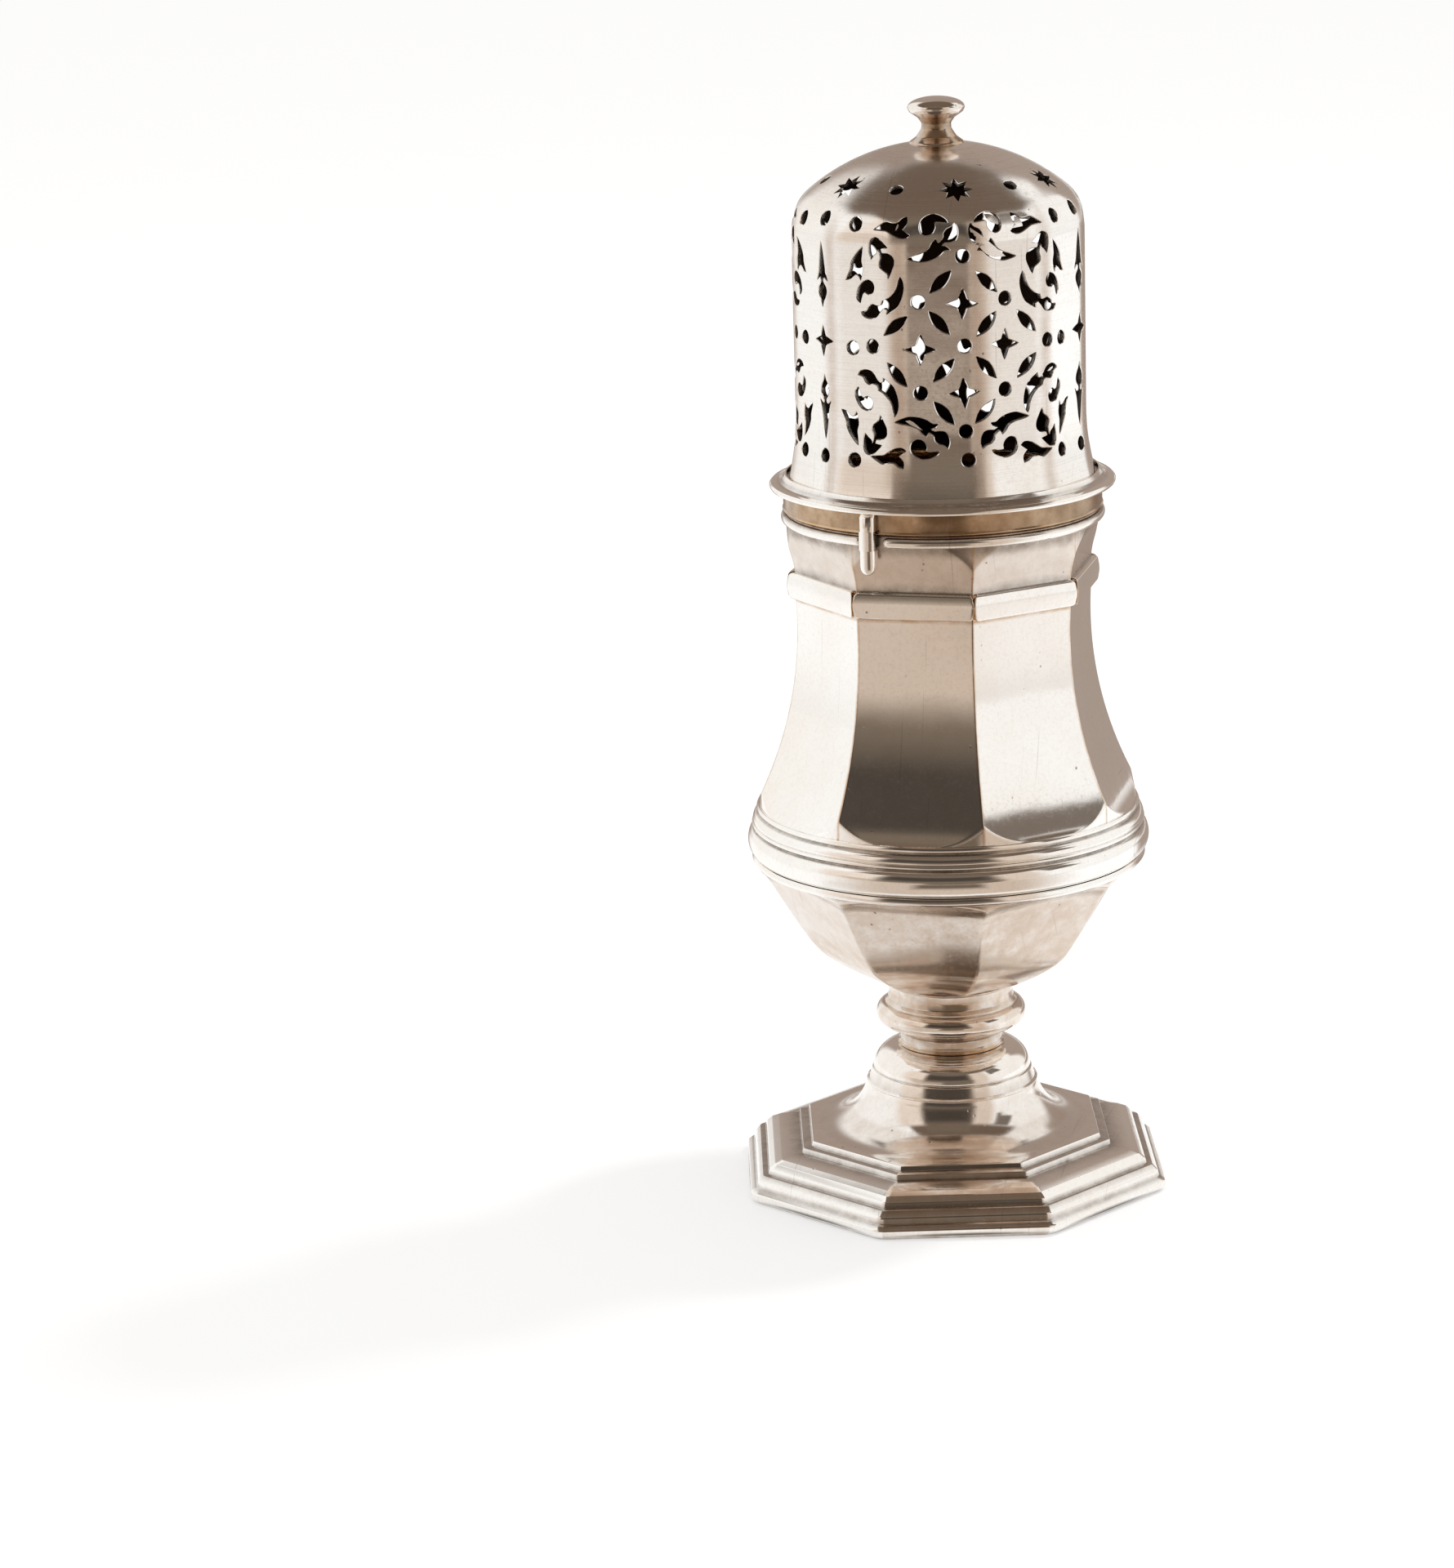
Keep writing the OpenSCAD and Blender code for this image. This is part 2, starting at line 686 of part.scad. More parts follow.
// Spears, buds and holes in the upper or lower half of the column between two thirds
module spear_half(up) {
    pierce(0, edge_row, 1, up)
        round_hole();
    pierce(0, 1.8 * lattice_rise, 1, up)
        spear(0.91 * lattice_rise, 0.31 * lattice_rise);
    pierce(0, 0.93 * lattice_rise, 1, up)
        bud(0.47 * lattice_rise, 0.23 * lattice_rise);
}

// Stars and holes round the dome, square to its crown
module dome_ring() {
    ring = 2 * repeats;
    for (i = [0 : 2 * ring - 1])
        rotate([0, 0, i * 180 / ring])
            translate([0, -dome_ring_r, dome_ring_z])
                rotate([90 - dome_tilt, 0, 0])
                    translate([0, 0, -4 * sheet])
                        linear_extrude(height = 8 * sheet)
                            if (i % 2 == 0)
                                pointed_star(8, dome_star_r, 0.4);
                            else
                                circle(r = hole_r);
}

module piercing() {
    third = 360 / repeats;
    for (k = [0 : repeats - 1])
        rotate([0, 0, k * third]) {
            lattice();
            for (side = [-1, 1], up = [-1, 1])
                scroll_quarter(side, up);
            pierce(2.1 * lattice_turn, 0)
                round_hole();
            pierce(2.62 * lattice_turn, 0)
                round_hole();
            pierce(2.1 * lattice_turn, 0, -1)
                round_hole();
            pierce(2.62 * lattice_turn, 0, -1)
                round_hole();
            rotate([0, 0, third / 2]) {
                for (up = [-1, 1])
                    spear_half(up);
                pierce(0, 0)
                    pointed_star(4, star_r, 0.3);
            }
        }
    dome_ring();
}

module pierced_cover() {
    color(silver)
        rotate([0, 0, lattice_angle])
            difference() {
                intersection() {
                    rotate([0, 0, facet_turn + 180 / cover_sides])
                        flat_sided(cover_sides, wall_base_r + past)
                            facet_outline();
                    rotate_extrude()
                        polygon(concat([[0, wall_z]], cover_half(0)));
                }
                rotate_extrude()
                    polygon(concat([[0, wall_z - past], [wall_base_r - wall_soft - sheet, wall_z - past]],
                                   cover_half(wall_soft + sheet)));
                translate([0, 0, crown_z])
                    cylinder(r = finial_peg_r, h = dome_crown_r + past);
                piercing();
            }
}

module finial() {
    peg_z = crown_z + dome_crown_r - wall_soft - 2 * sheet;
    neck_z = finial_z + 0.42 * finial_h;
    button_z = finial_z + 0.76 * finial_h;
    top_z = finial_z + finial_h;
    base_h = 0.08 * finial_h;
    color(warm_silver)
        difference() {
            rotate_extrude()
                polygon(concat(
                    [[0, peg_z], [finial_peg_r, peg_z], [finial_peg_r, finial_z], [finial_base_r, finial_z],
                     [finial_base_r, finial_z + base_h],
                     [0.5 * (finial_base_r + finial_neck_r), finial_z + 2.6 * base_h],
                     [finial_neck_r, neck_z - base_h], [finial_neck_r, neck_z + base_h],
                     [0.5 * (finial_button_r + finial_neck_r), button_z - 1.8 * base_h]],
                    [for (i = [0 : arc_steps])
                        let (a = -30 + 120 * i / arc_steps)
                        [finial_button_r * cos(a), button_z + (top_z - button_z) * sin(a)]]
                ));
            intersection() {
                translate([0, 0, crown_z])
                    sphere(r = dome_crown_r);
                difference() {
                    cylinder(r = finial_base_r + past, h = finial_z + finial_h);
                    cylinder(r = finial_peg_r, h = finial_z + finial_h);
                }
            }
        }
}

// One lug: a strap outside the rim wire with a nose that hooks under it
module bayonet_lug(k) {
    arm_z = band_z + 3 * band_bead + seat_gap;
    out_r = strap_r + lug_t;
    round_off = lug_t / 2;
    color(silver)
        rotate([0, 0, lug_angle + k * 360 / lugs])
            difference() {
                rotate([90, 0, 90])
                    linear_extrude(height = lug_w, center = true)
                        polygon([
                            [-band_r + sheet, flange_z], [-out_r + round_off / 2, flange_z],
                            [-out_r, flange_z - round_off], [-out_r, nose_low_z + round_off],
                            [-out_r + round_off, nose_low_z], [-nose_in_r, nose_low_z],
                            [-nose_in_r, nose_top_z], [-strap_r, nose_top_z],
                            [-strap_r, arm_z], [-band_r + sheet, arm_z]
                        ]);
                translate([0, 0, band_z])
                    cylinder(r = band_r, h = band_h + past);
            }
}

foot();
stem_knop();
bowl();
girdle_moulding();
upper_body();
for (k = [0 : body_sides - 1])
    neck_strip(k);
for (k = [0 : lugs - 1]) {
    rim_wire(k);
    bayonet_lug(k);
}
cover_sleeve();
cover_band();
cover_flange();
pierced_cover();
finial();
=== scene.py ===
import json
import math

import bmesh
import bpy
import numpy as np
from bpy.props import FloatProperty, FloatVectorProperty, IntProperty, PointerProperty
from mathutils import Matrix, Vector

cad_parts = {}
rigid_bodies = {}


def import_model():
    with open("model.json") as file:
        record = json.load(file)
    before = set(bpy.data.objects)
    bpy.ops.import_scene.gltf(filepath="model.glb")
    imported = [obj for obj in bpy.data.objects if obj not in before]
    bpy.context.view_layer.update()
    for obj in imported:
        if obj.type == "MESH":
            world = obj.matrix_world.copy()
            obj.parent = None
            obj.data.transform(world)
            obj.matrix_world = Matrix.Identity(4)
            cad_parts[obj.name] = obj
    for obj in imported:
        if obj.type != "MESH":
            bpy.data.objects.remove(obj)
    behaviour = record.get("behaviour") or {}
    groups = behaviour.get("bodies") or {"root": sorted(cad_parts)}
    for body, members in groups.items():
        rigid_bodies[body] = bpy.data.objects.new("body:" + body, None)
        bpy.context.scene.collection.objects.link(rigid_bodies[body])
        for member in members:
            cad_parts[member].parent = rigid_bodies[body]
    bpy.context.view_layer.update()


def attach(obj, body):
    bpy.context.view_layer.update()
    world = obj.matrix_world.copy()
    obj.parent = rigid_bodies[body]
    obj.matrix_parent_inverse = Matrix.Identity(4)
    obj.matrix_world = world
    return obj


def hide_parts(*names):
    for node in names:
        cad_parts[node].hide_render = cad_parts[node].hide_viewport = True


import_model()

bl_info = {
    "name": "Sugar caster",
    "version": (1, 0, 0),
    "blender": (4, 5, 0),
    "location": "3D View > Sidebar > Caster",
    "description": "Dresses the packed sugar caster in worn old silver",
    "category": "Object",
}

# Sizes in millimetres, heights above the floor, angles in radians from the front flat towards the right

MM = 0.001
SIDES = 8
HALF_SIDE = math.pi / SIDES
FOOT_TURN = math.radians(15)
SHEET = 0.9
DRUM_R = 34.4
SEAM_Z = 65.5
MOUTH_R = 28.3
RIM_Z = 126.4
STRIP_LOW_Z, STRIP_TOP_Z = 110.8, 115.7
STRIP_IN_R, STRIP_OUT_R = 25.17, 26.37
WIRE_R, WIRE_RING_R, WIRE_Z = 0.95, 28.22, 125.1
LUG_ANGLE = math.radians(-14.6)
NOTCH_LEAD, NOTCH_TAIL = math.radians(3.04), math.radians(4.87)
FLANGE_Z, WALL_Z = 130.4, 132.0
WALL_R, WALL_SOFT = 26.4, 0.5
FLARE_TOP_Z, WALL_FLARE_R = 145.0, 53.6
SHOULDER_Z, SHOULDER_R = 176.6, 9.0
CROWN_Z, CROWN_R = 155.95, 36.0
PEG_R = 1.5
LATTICE_Z = 159.6
LATTICE_ANGLE = math.radians(21.2)
FACET_STEP = math.radians(30)
FACET_OFFSET = LATTICE_ANGLE + math.radians(20)
FACET_END_Z, DOME_FILM_Z, DOME_FADE = 184.0, 180.0, 6.0
ROLL_R = 26.4
CAMERA_SIDE = math.radians(12)
# Turn of the painted shade on the dome, heaviest a quarter turn to the left of it
DOME_SHADE_SIDE = math.radians(12)
# Width of the painted shade along the cover's facet arrises
ARRIS_SHADE = math.radians(3)


# Settings

class CasterShape(bpy.types.PropertyGroup):
    """Sizes that a maker would change without changing the frame"""
    arris: FloatProperty(
        name="Arris", description="Rounding of the arrises between the flats",
        default=0.4 * MM, min=0.1 * MM, max=1.5 * MM, unit="LENGTH", subtype="DISTANCE")
    crease: FloatProperty(
        name="Crease", description="Softness of the line where flats run into round work",
        default=0.1 * MM, min=0.02 * MM, max=0.5 * MM, unit="LENGTH", subtype="DISTANCE")
    piercing_rim: FloatProperty(
        name="Piercing rim", description="Width of the worn bevel round each piercing",
        default=0.12 * MM, min=0.05 * MM, max=0.3 * MM, unit="LENGTH", subtype="DISTANCE")
    hand_cut: FloatProperty(
        name="Hand cut", description="How far each pierced motif strays from its true place",
        default=0.13 * MM, min=0.0, max=0.4 * MM, unit="LENGTH", subtype="DISTANCE")
    hand_seed: IntProperty(
        name="Hand seed", description="Seed of the hand cut strays", default=7, min=0)


class CasterFinish(bpy.types.PropertyGroup):
    """Colours of the old silver"""
    silver: FloatVectorProperty(
        name="Silver", description="Clean polished silver", subtype="COLOR", size=3,
        default=(0.97, 0.955, 0.93), min=0, max=1)
    warm: FloatVectorProperty(
        name="Warm silver", description="Silver with a thin yellow film", subtype="COLOR", size=3,
        default=(0.82, 0.70, 0.57), min=0, max=1)
    # Dark brown of hollows, also the colour of painted shade in gaps, under the rim wire, beside the lugs and at the
    # front of the foot's bottom edge
    tarnish_and_shade: FloatVectorProperty(
        name="Tarnish", description="Brown tarnish in grooves and pits", subtype="COLOR", size=3,
        default=(0.16, 0.12, 0.09), min=0, max=1)
    # Dull film colour, also used for painted shade on the dome's left side and along the cover's facet arrises
    film: FloatVectorProperty(
        name="Film", description="Dull film on the bowl, the neck and the cover", subtype="COLOR", size=3,
        default=(0.62, 0.51, 0.43), min=0, max=1)
    gilt: FloatVectorProperty(
        name="Gilt", description="Golden tarnish of the band", subtype="COLOR", size=3,
        default=(0.76, 0.45, 0.2), min=0, max=1)
    # Gold of solder at seams and of cast work, also the colour of painted gold reflections on the front of the foot
    # and on the bowl
    solder: FloatVectorProperty(
        name="Solder", description="Golden solder of seams, and gold tones of cast work", subtype="COLOR", size=3,
        default=(0.52, 0.31, 0.145), min=0, max=1)
    # Dark colour of the inside: tarnished inside of the cover and the mouth, and painted shade deep in the piercings;
    # it also darkens the finial's neck
    lining: FloatVectorProperty(
        name="Lining", description="Dark inside of the cover and the mouth", subtype="COLOR", size=3,
        default=(0.05, 0.031, 0.021), min=0, max=1)


class CasterStudio(bpy.types.PropertyGroup):
    """Light of the studio"""
    key: FloatProperty(
        name="Key", description="Strength of the lamp behind on the right", default=6.0, min=0)
    floor: FloatVectorProperty(
        name="Floor", description="Colour of the pale floor", subtype="COLOR", size=3,
        default=(0.97, 0.97, 0.97), min=0, max=1)
    room: FloatVectorProperty(
        name="Room", description="Colour of the white walls", subtype="COLOR", size=3,
        default=(1.0, 0.99, 0.97), min=0, max=1)
    opening: FloatVectorProperty(
        name="Opening", description="Brown opening on the camera's side", subtype="COLOR", size=3,
        default=(0.18, 0.14, 0.105), min=0, max=1)
    # Also the colour of the painted contact shadow round the foot
    depth: FloatVectorProperty(
        name="Depth", description="Dark depth of the opening", subtype="COLOR", size=3,
        default=(0.068, 0.055, 0.045), min=0, max=1)
    # Also the colour of the painted shade on the floor far in front
    ceiling: FloatVectorProperty(
        name="Ceiling", description="Brown ceiling", subtype="COLOR", size=3,
        default=(0.166, 0.121, 0.09), min=0, max=1)
    back: FloatVectorProperty(
        name="Back", description="Brown grey wall behind", subtype="COLOR", size=3,
        default=(0.40, 0.325, 0.28), min=0, max=1)
    left_drape: FloatVectorProperty(
        name="Left drape", description="Pale cloth left of the opening", subtype="COLOR", size=3,
        default=(0.86, 0.75, 0.66), min=0, max=1)
    gap: FloatVectorProperty(
        name="Gap", description="Dark gap between the cloths on the right", subtype="COLOR", size=3,
        default=(0.20, 0.165, 0.14), min=0, max=1)
    right_drape: FloatVectorProperty(
        name="Right drape", description="Beige cloth right of the opening", subtype="COLOR", size=3,
        default=(0.74, 0.63, 0.54), min=0, max=1)
    front_floor: FloatVectorProperty(
        name="Front floor", description="Floor in front, under the drapes", subtype="COLOR", size=3,
        default=(0.62, 0.51, 0.42), min=0, max=1)
    shade: FloatVectorProperty(
        name="Shade", description="Shaded floor in front of the caster", subtype="COLOR", size=3,
        default=(0.16, 0.12, 0.09), min=0, max=1)


# Shapes

def link(obj):
    """Puts an object into the scene"""
    bpy.context.scene.collection.objects.link(obj)
    return obj


def new_mesh(name, points, faces):
    """A mesh of points in metres"""
    mesh = bpy.data.meshes.new(name)
    mesh.from_pydata(points, [], faces)
    return mesh


def set_mark(mesh, name, values):
    """Gives every point of a mesh its value of a mark, in place of any that it had"""
    if name in mesh.attributes:
        mesh.attributes.remove(mesh.attributes[name])
    values = np.asarray(values, np.float32).ravel()
    mesh.attributes.new(name, "FLOAT", "POINT").data.foreach_set("value", values)


def settle(obj, body, slot, *nodes):
    """Gives a finished piece the finish of its slot, puts it on its body and hides the nodes it stands for"""
    obj.data.materials.clear()
    obj.data.materials.append(finish(slot))
    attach(obj, body)
    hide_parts(*nodes)


def shell(name, rings, shut=True, marks=None):
    """A piece made of rings of points in millimetres, each joined to the next"""
    rings = np.asarray(rings, float)
    rows, cols, _ = rings.shape
    i = np.arange(rows if shut else rows - 1)[:, None]
    j = np.arange(cols)[None, :]
    up, across = (i + 1) % rows, (j + 1) % cols
    faces = np.stack([i * cols + j, i * cols + across, up * cols + across, up * cols + j], -1)
    mesh = new_mesh(name, (rings.reshape(-1, 3) * MM).tolist(), faces.reshape(-1, 4).tolist())
    for mark, values in (marks or {}).items():
        set_mark(mesh, mark, values if np.ndim(values) == 2 else np.repeat(values, cols))
    close_seams(mesh)
    return link(bpy.data.objects.new(name, mesh))


def close_seams(mesh):
    """Merges doubled points, turns faces outwards and shades smooth"""
    bm = bmesh.new()
    bm.from_mesh(mesh)
    bmesh.ops.remove_doubles(bm, verts=bm.verts, dist=1e-7)
    bmesh.ops.recalc_face_normals(bm, faces=bm.faces)
    bm.to_mesh(mesh)
    bm.free()
    mesh.shade_smooth()


def around(theta, radius, z):
    """Points at angles from the front flat, towards the right"""
    theta, radius, z = np.broadcast_arrays(theta, radius, z)
    return np.stack([radius * np.sin(theta), -radius * np.cos(theta), z], -1)


def even_angles(count):
    return np.linspace(0, 2 * math.pi, count, endpoint=False)


def octagon_angles(turn):
    """Angles round an octagon, close together at its arrises"""
    near = np.radians([0, 0.12, 0.25, 0.4, 0.6, 0.85, 1.2, 1.6])
    side = np.concatenate([near, np.linspace(math.radians(2.2), HALF_SIDE, 14)])
    offsets = np.concatenate([side, 2 * HALF_SIDE - side[1:-1][::-1]])
    return np.concatenate([turn + HALF_SIDE + k * 2 * HALF_SIDE + offsets for k in range(SIDES)])


def off_flat(theta, turn=0.0):
    """Angle from the middle of the nearest flat of an octagon"""
    return np.abs((theta - turn + HALF_SIDE) % (2 * HALF_SIDE) - HALF_SIDE)


def octagon(theta, flat_r, corner_r, turn=0.0):
    """Radius of an octagon with rounded corners, from its half width across flats"""
    off = off_flat(theta, turn)
    corner_r = np.minimum(corner_r, flat_r)
    inner = flat_r - corner_r
    flat = flat_r / np.cos(off)
    mid = inner / math.cos(HALF_SIDE)
    along = mid * np.cos(HALF_SIDE - off)
    rounded = along + np.sqrt(np.maximum(along ** 2 - mid ** 2 + corner_r ** 2, 0))
    return np.where(flat * np.sin(off) > inner * math.tan(HALF_SIDE), rounded, flat)


def near_arris(theta, width):
    """One at the arrises of the body, falling to nothing over a width"""
    return np.clip(1 - (HALF_SIDE - off_flat(theta)) / width, 0, 1)


def soft_min(a, b, k):
    """The smaller of two radii, blended over a width"""
    low = np.minimum(a, b)
    return low - k * np.log(np.exp(-(a - low) / k) + np.exp(-(b - low) / k))


def soften(corners, steps=4):
    """An open outline whose corners (r, z, rounding) are turned into arcs"""
    out = []
    for i, (r, z, rounding) in enumerate(corners):
        here = Vector((r, z))
        if rounding == 0 or i in (0, len(corners) - 1):
            out.append(tuple(here))
            continue
        back = Vector(corners[i - 1][:2]) - here
        ahead = Vector(corners[i + 1][:2]) - here
        angle = back.angle(ahead)
        if angle > math.radians(179.5):
            out.append(tuple(here))
            continue
        reach = min(rounding / math.tan(angle / 2), 0.49 * back.length, 0.49 * ahead.length)
        radius = reach * math.tan(angle / 2)
        back.normalize()
        ahead.normalize()
        centre = here + (back + ahead).normalized() * (radius / math.sin(angle / 2))
        start, end = here + back * reach - centre, here + ahead * reach - centre
        out += [tuple(centre + start.slerp(end, k / steps) * radius) for k in range(steps + 1)]
    return out


def arc(x, z, rx, rz, from_deg, to_deg, steps=12):
    """Points of an elliptic arc, as corners with no rounding"""
    angles = np.radians(np.linspace(from_deg, to_deg, steps + 1))
    return [(x + rx * math.cos(a), z + rz * math.sin(a), 0) for a in angles]


def span_at(t, a, b, leave, arrive):
    """A point of the smooth span from a to b that leaves and arrives along two slopes"""
    return ((2 * t ** 3 - 3 * t ** 2 + 1) * a + (t ** 3 - 2 * t ** 2 + t) * leave
            + (3 * t ** 2 - 2 * t ** 3) * b + (t ** 3 - t ** 2) * arrive)


def turning(outline):
    """Twice the area of a closed outline, positive where it runs counter-clockwise"""
    x, y = outline.T
    return (x * np.roll(y, -1) - np.roll(x, -1) * y).sum()


def flowing(points, steps=8):
    """A smooth curve through points"""
    p = np.asarray(points, float)
    ahead = np.vstack([p[1:], 2 * p[-1:] - p[-2:-1]])
    back = np.vstack([2 * p[:1] - p[1:2], p[:-1]])
    slope = (ahead - back) / 2
    t = np.linspace(0, 1, steps, endpoint=False)[:, None]
    spans = [span_at(t, p[i], p[i + 1], slope[i], slope[i + 1]) for i in range(len(p) - 1)]
    return np.vstack(spans + [p[-1:]])


def worn_marks(outline, reach=0.45):
    """Grooves and edges of a closed outline: where it turns inwards and where it turns outwards"""
    p = np.asarray(outline, float)
    ahead, back = np.roll(p, -1, 0) - p, p - np.roll(p, 1, 0)
    turn = np.arctan2(back[:, 0] * ahead[:, 1] - back[:, 1] * ahead[:, 0], (back * ahead).sum(1))
    gap = np.hypot(p[:, None, 0] - p[None, :, 0], p[:, None, 1] - p[None, :, 1])
    spread = (np.exp(-0.5 * (gap / reach) ** 2) * turn[None, :]).sum(1)
    hollow = -math.copysign(1, turning(p)) * spread / 1.2
    return {"groove": np.clip(hollow, 0, 1), "edge": np.clip(-hollow, 0, 1)}


def turned(name, corners, segments=192, steps=4):
    """A round piece turned from a closed outline of corners (r, z, rounding)"""
    outline = np.asarray(soften(corners, steps))
    theta = even_angles(segments)
    rings = around(theta[None, :], outline[:, :1], outline[:, 1:])
    return shell(name, rings, marks=worn_marks(outline))


def deepen(piece, mark, rule):
    """Raises a mark where a rule of angle and height in millimetres asks for more"""
    marks = piece.data.attributes
    if mark not in marks:
        marks.new(mark, "FLOAT", "POINT")
    for vert, item in zip(piece.data.vertices, marks[mark].data):
        x, y, z = vert.co / MM
        item.value = max(item.value, rule(math.atan2(x, -y), z))


def bump_at(value, middle, width):
    """One at the middle, falling away over a width"""
    return math.exp(-((value - middle) / width) ** 2)


# Finish

class Nodes:
    """Adds nodes to a tree, with inputs given as values or as sockets to join"""

    def __init__(self, tree):
        self.tree = tree
        tree.nodes.clear()

    def add(self, kind, inputs=None, **settings):
        node = self.tree.nodes.new(kind)
        for key, value in settings.items():
            setattr(node, key, value)
        for key, value in (inputs or {}).items():
            if isinstance(value, bpy.types.NodeSocket):
                self.tree.links.new(value, node.inputs[key])
            else:
                node.inputs[key].default_value = value
        return node

    def math(self, operation, a, b=0.0, clamp=False):
        return self.add("ShaderNodeMath", {0: a, 1: b}, operation=operation, use_clamp=clamp).outputs[0]

    def times(self, a, b, clamp=False):
        return self.math("MULTIPLY", a, b, clamp)

    def plus(self, total, *values):
        for value in values:
            total = self.math("ADD", total, value)
        return total

    def remap(self, value, low, high, to_low=0.0, to_high=1.0):
        return self.add("ShaderNodeMapRange", {"Value": value, "From Min": low, "From Max": high,
                                               "To Min": to_low, "To Max": to_high}).outputs[0]

    def blend(self, amount, a, b):
        node = self.add("ShaderNodeMix", {0: amount}, data_type="RGBA")
        for socket, value in ((node.inputs[6], a), (node.inputs[7], b)):
            if isinstance(value, bpy.types.NodeSocket):
                self.tree.links.new(value, socket)
            else:
                socket.default_value = (*value[:3], 1.0)
        return node.outputs[2]

    def noise(self, vector, scale, detail=3.0, roughness=0.55):
        return self.add("ShaderNodeTexNoise", {"Vector": vector, "Scale": scale, "Detail": detail,
                                               "Roughness": roughness}).outputs["Fac"]

    def mark(self, name):
        return self.add("ShaderNodeAttribute", attribute_name=name).outputs["Fac"]


def new_material(name):
    """A material and the nodes to build it with"""
    material = bpy.data.materials.new(name)
    material.use_nodes = True
    return material, Nodes(material.node_tree)


def silver_finish(name, shine, film, pitted, brushed=False, gilt=0.0):
    """Old silver: a tarnished film, dark grooves, bright edges, scratches, pits and soft dents, with painted shade in
    gaps and hollows and painted gold reflections
    """
    colours = bpy.context.scene.caster_finish
    material, n = new_material(name)
    place = n.add("ShaderNodeTexCoord").outputs["Object"]
    clouds = n.noise(place, 45.0, 3.0)
    mottle = n.noise(place, 320.0, 4.0, 0.6)
    grain = n.noise(place, 3500.0, 2.0)
    fine = (60.0, 60.0, 9000.0) if brushed else (5000.0, 700.0, 700.0)
    lie = (0, 0, 0) if brushed else (0.4, 0.9, 0.3)
    streaks = n.add("ShaderNodeMapping", {"Vector": place, "Scale": fine, "Rotation": lie}).outputs[0]
    scratch = n.noise(streaks, 1.0, 3.0, 0.7)
    hairs = []
    for turn in ((0.3, 0.9, 0.4), (1.1, -0.5, 1.3)):
        lines = n.add("ShaderNodeMapping", {"Vector": place, "Scale": (2600.0, 45.0, 45.0), "Rotation": turn})
        hairs.append(n.remap(n.noise(lines.outputs[0], 1.0, 0.0), 0.80, 0.86))
    hair = n.math("MAXIMUM", *hairs)
    speck = n.noise(place, 1500.0, 3.0, 0.7)
    pit_cell = n.add("ShaderNodeTexVoronoi", {"Vector": place, "Scale": 420.0, "Randomness": 1.0})
    dull_and_shade, groove, edge, seam, lining = (n.mark(name) for name in ("film", "groove", "edge", "seam", "lining"))
    pit_pick = n.plus(n.noise(place, 160.0, 2.0), n.times(dull_and_shade, 0.1))
    pit_pick = n.remap(pit_pick, 0.62 - 0.1 * pitted, 0.72 - 0.1 * pitted)
    pits = n.times(n.remap(pit_cell.outputs["Distance"], 0.05, 0.13, 1.0, 0.0), pit_pick)
    # Darker in hollows: dirt in real grooves and pits, and painted shade where the marks stand for gaps, overhangs
    # and contact with the floor
    dirt_and_shade = n.times(groove, n.remap(mottle, 0.25, 0.7, 0.45, 1.0), clamp=True)
    dirt_and_shade = n.math("MAXIMUM", dirt_and_shade, n.times(pits, 0.8))
    tone = n.blend(n.remap(clouds, 0.35, 0.75, 0.0, film), colours.silver, colours.warm)
    if gilt:
        tone = n.blend(n.remap(mottle, 0.2, 0.8, 0.6 * gilt, gilt), tone, colours.gilt)
        tone = n.blend(n.remap(clouds, 0.45, 0.7, 0.0, 0.5), tone, colours.tarnish_and_shade)
    # Dull film, which also paints shade on the dome's left side and along the cover's facet arrises
    tone = n.blend(n.times(dull_and_shade, n.remap(mottle, 0.25, 0.75, 0.55, 1.0)), tone, colours.film)
    tone = n.blend(n.remap(speck, 0.45, 0.8, 0.0, 0.22), tone, colours.film)
    tone = n.blend(n.times(hair, 0.2), tone, colours.tarnish_and_shade)
    tone = n.blend(n.times(dirt_and_shade, 0.85), tone, colours.tarnish_and_shade)
    # Gold: solder at seams and gold tones of cast work, and painted gold reflections where the mark asks for them
    tone = n.blend(n.times(seam, n.remap(mottle, 0.3, 0.6, 0.3, 1.0)), tone, colours.solder)
    if brushed:
        tone = n.blend(n.remap(scratch, 0.45, 0.75, 0.0, 0.16), tone, colours.tarnish_and_shade)
    # Dark inside: tarnished inside, and painted shade deeper under the outside in the piercings
    tone = n.blend(lining, tone, colours.lining)
    rough = n.plus(
        n.remap(mottle, 0.2, 0.8, shine, shine + 0.07), n.remap(speck, 0.5, 0.75, 0.0, 0.09),
        n.times(dirt_and_shade, 0.18), n.times(lining, 0.35), n.times(dull_and_shade, 0.14))
    rough = n.math("SUBTRACT", rough, n.times(edge, 0.05), clamp=True)
    dents = n.plus(n.noise(place, 110.0, 1.0), n.times(mottle, 0.12))
    relief = n.plus(
        n.times(dents, 1.3 if brushed else 0.55), n.times(grain, 0.02),
        n.times(scratch, 0.016 if brushed else 0.012), n.times(pits, -0.5), n.times(hair, -0.04))
    bump = n.add("ShaderNodeBump", {"Height": relief, "Strength": 0.5, "Distance": 0.00012})
    shader = n.add("ShaderNodeBsdfPrincipled", {"Base Color": tone, "Roughness": rough, "Metallic": 1.0,
                                                "Normal": bump.outputs[0]})
    if brushed:
        shader.inputs["Anisotropic"].default_value = 0.4
        tangent = n.add("ShaderNodeTangent", direction_type="RADIAL", axis="Z").outputs[0]
        n.tree.links.new(tangent, shader.inputs["Tangent"])
    n.add("ShaderNodeOutputMaterial", {"Surface": shader.outputs[0]})
    return material


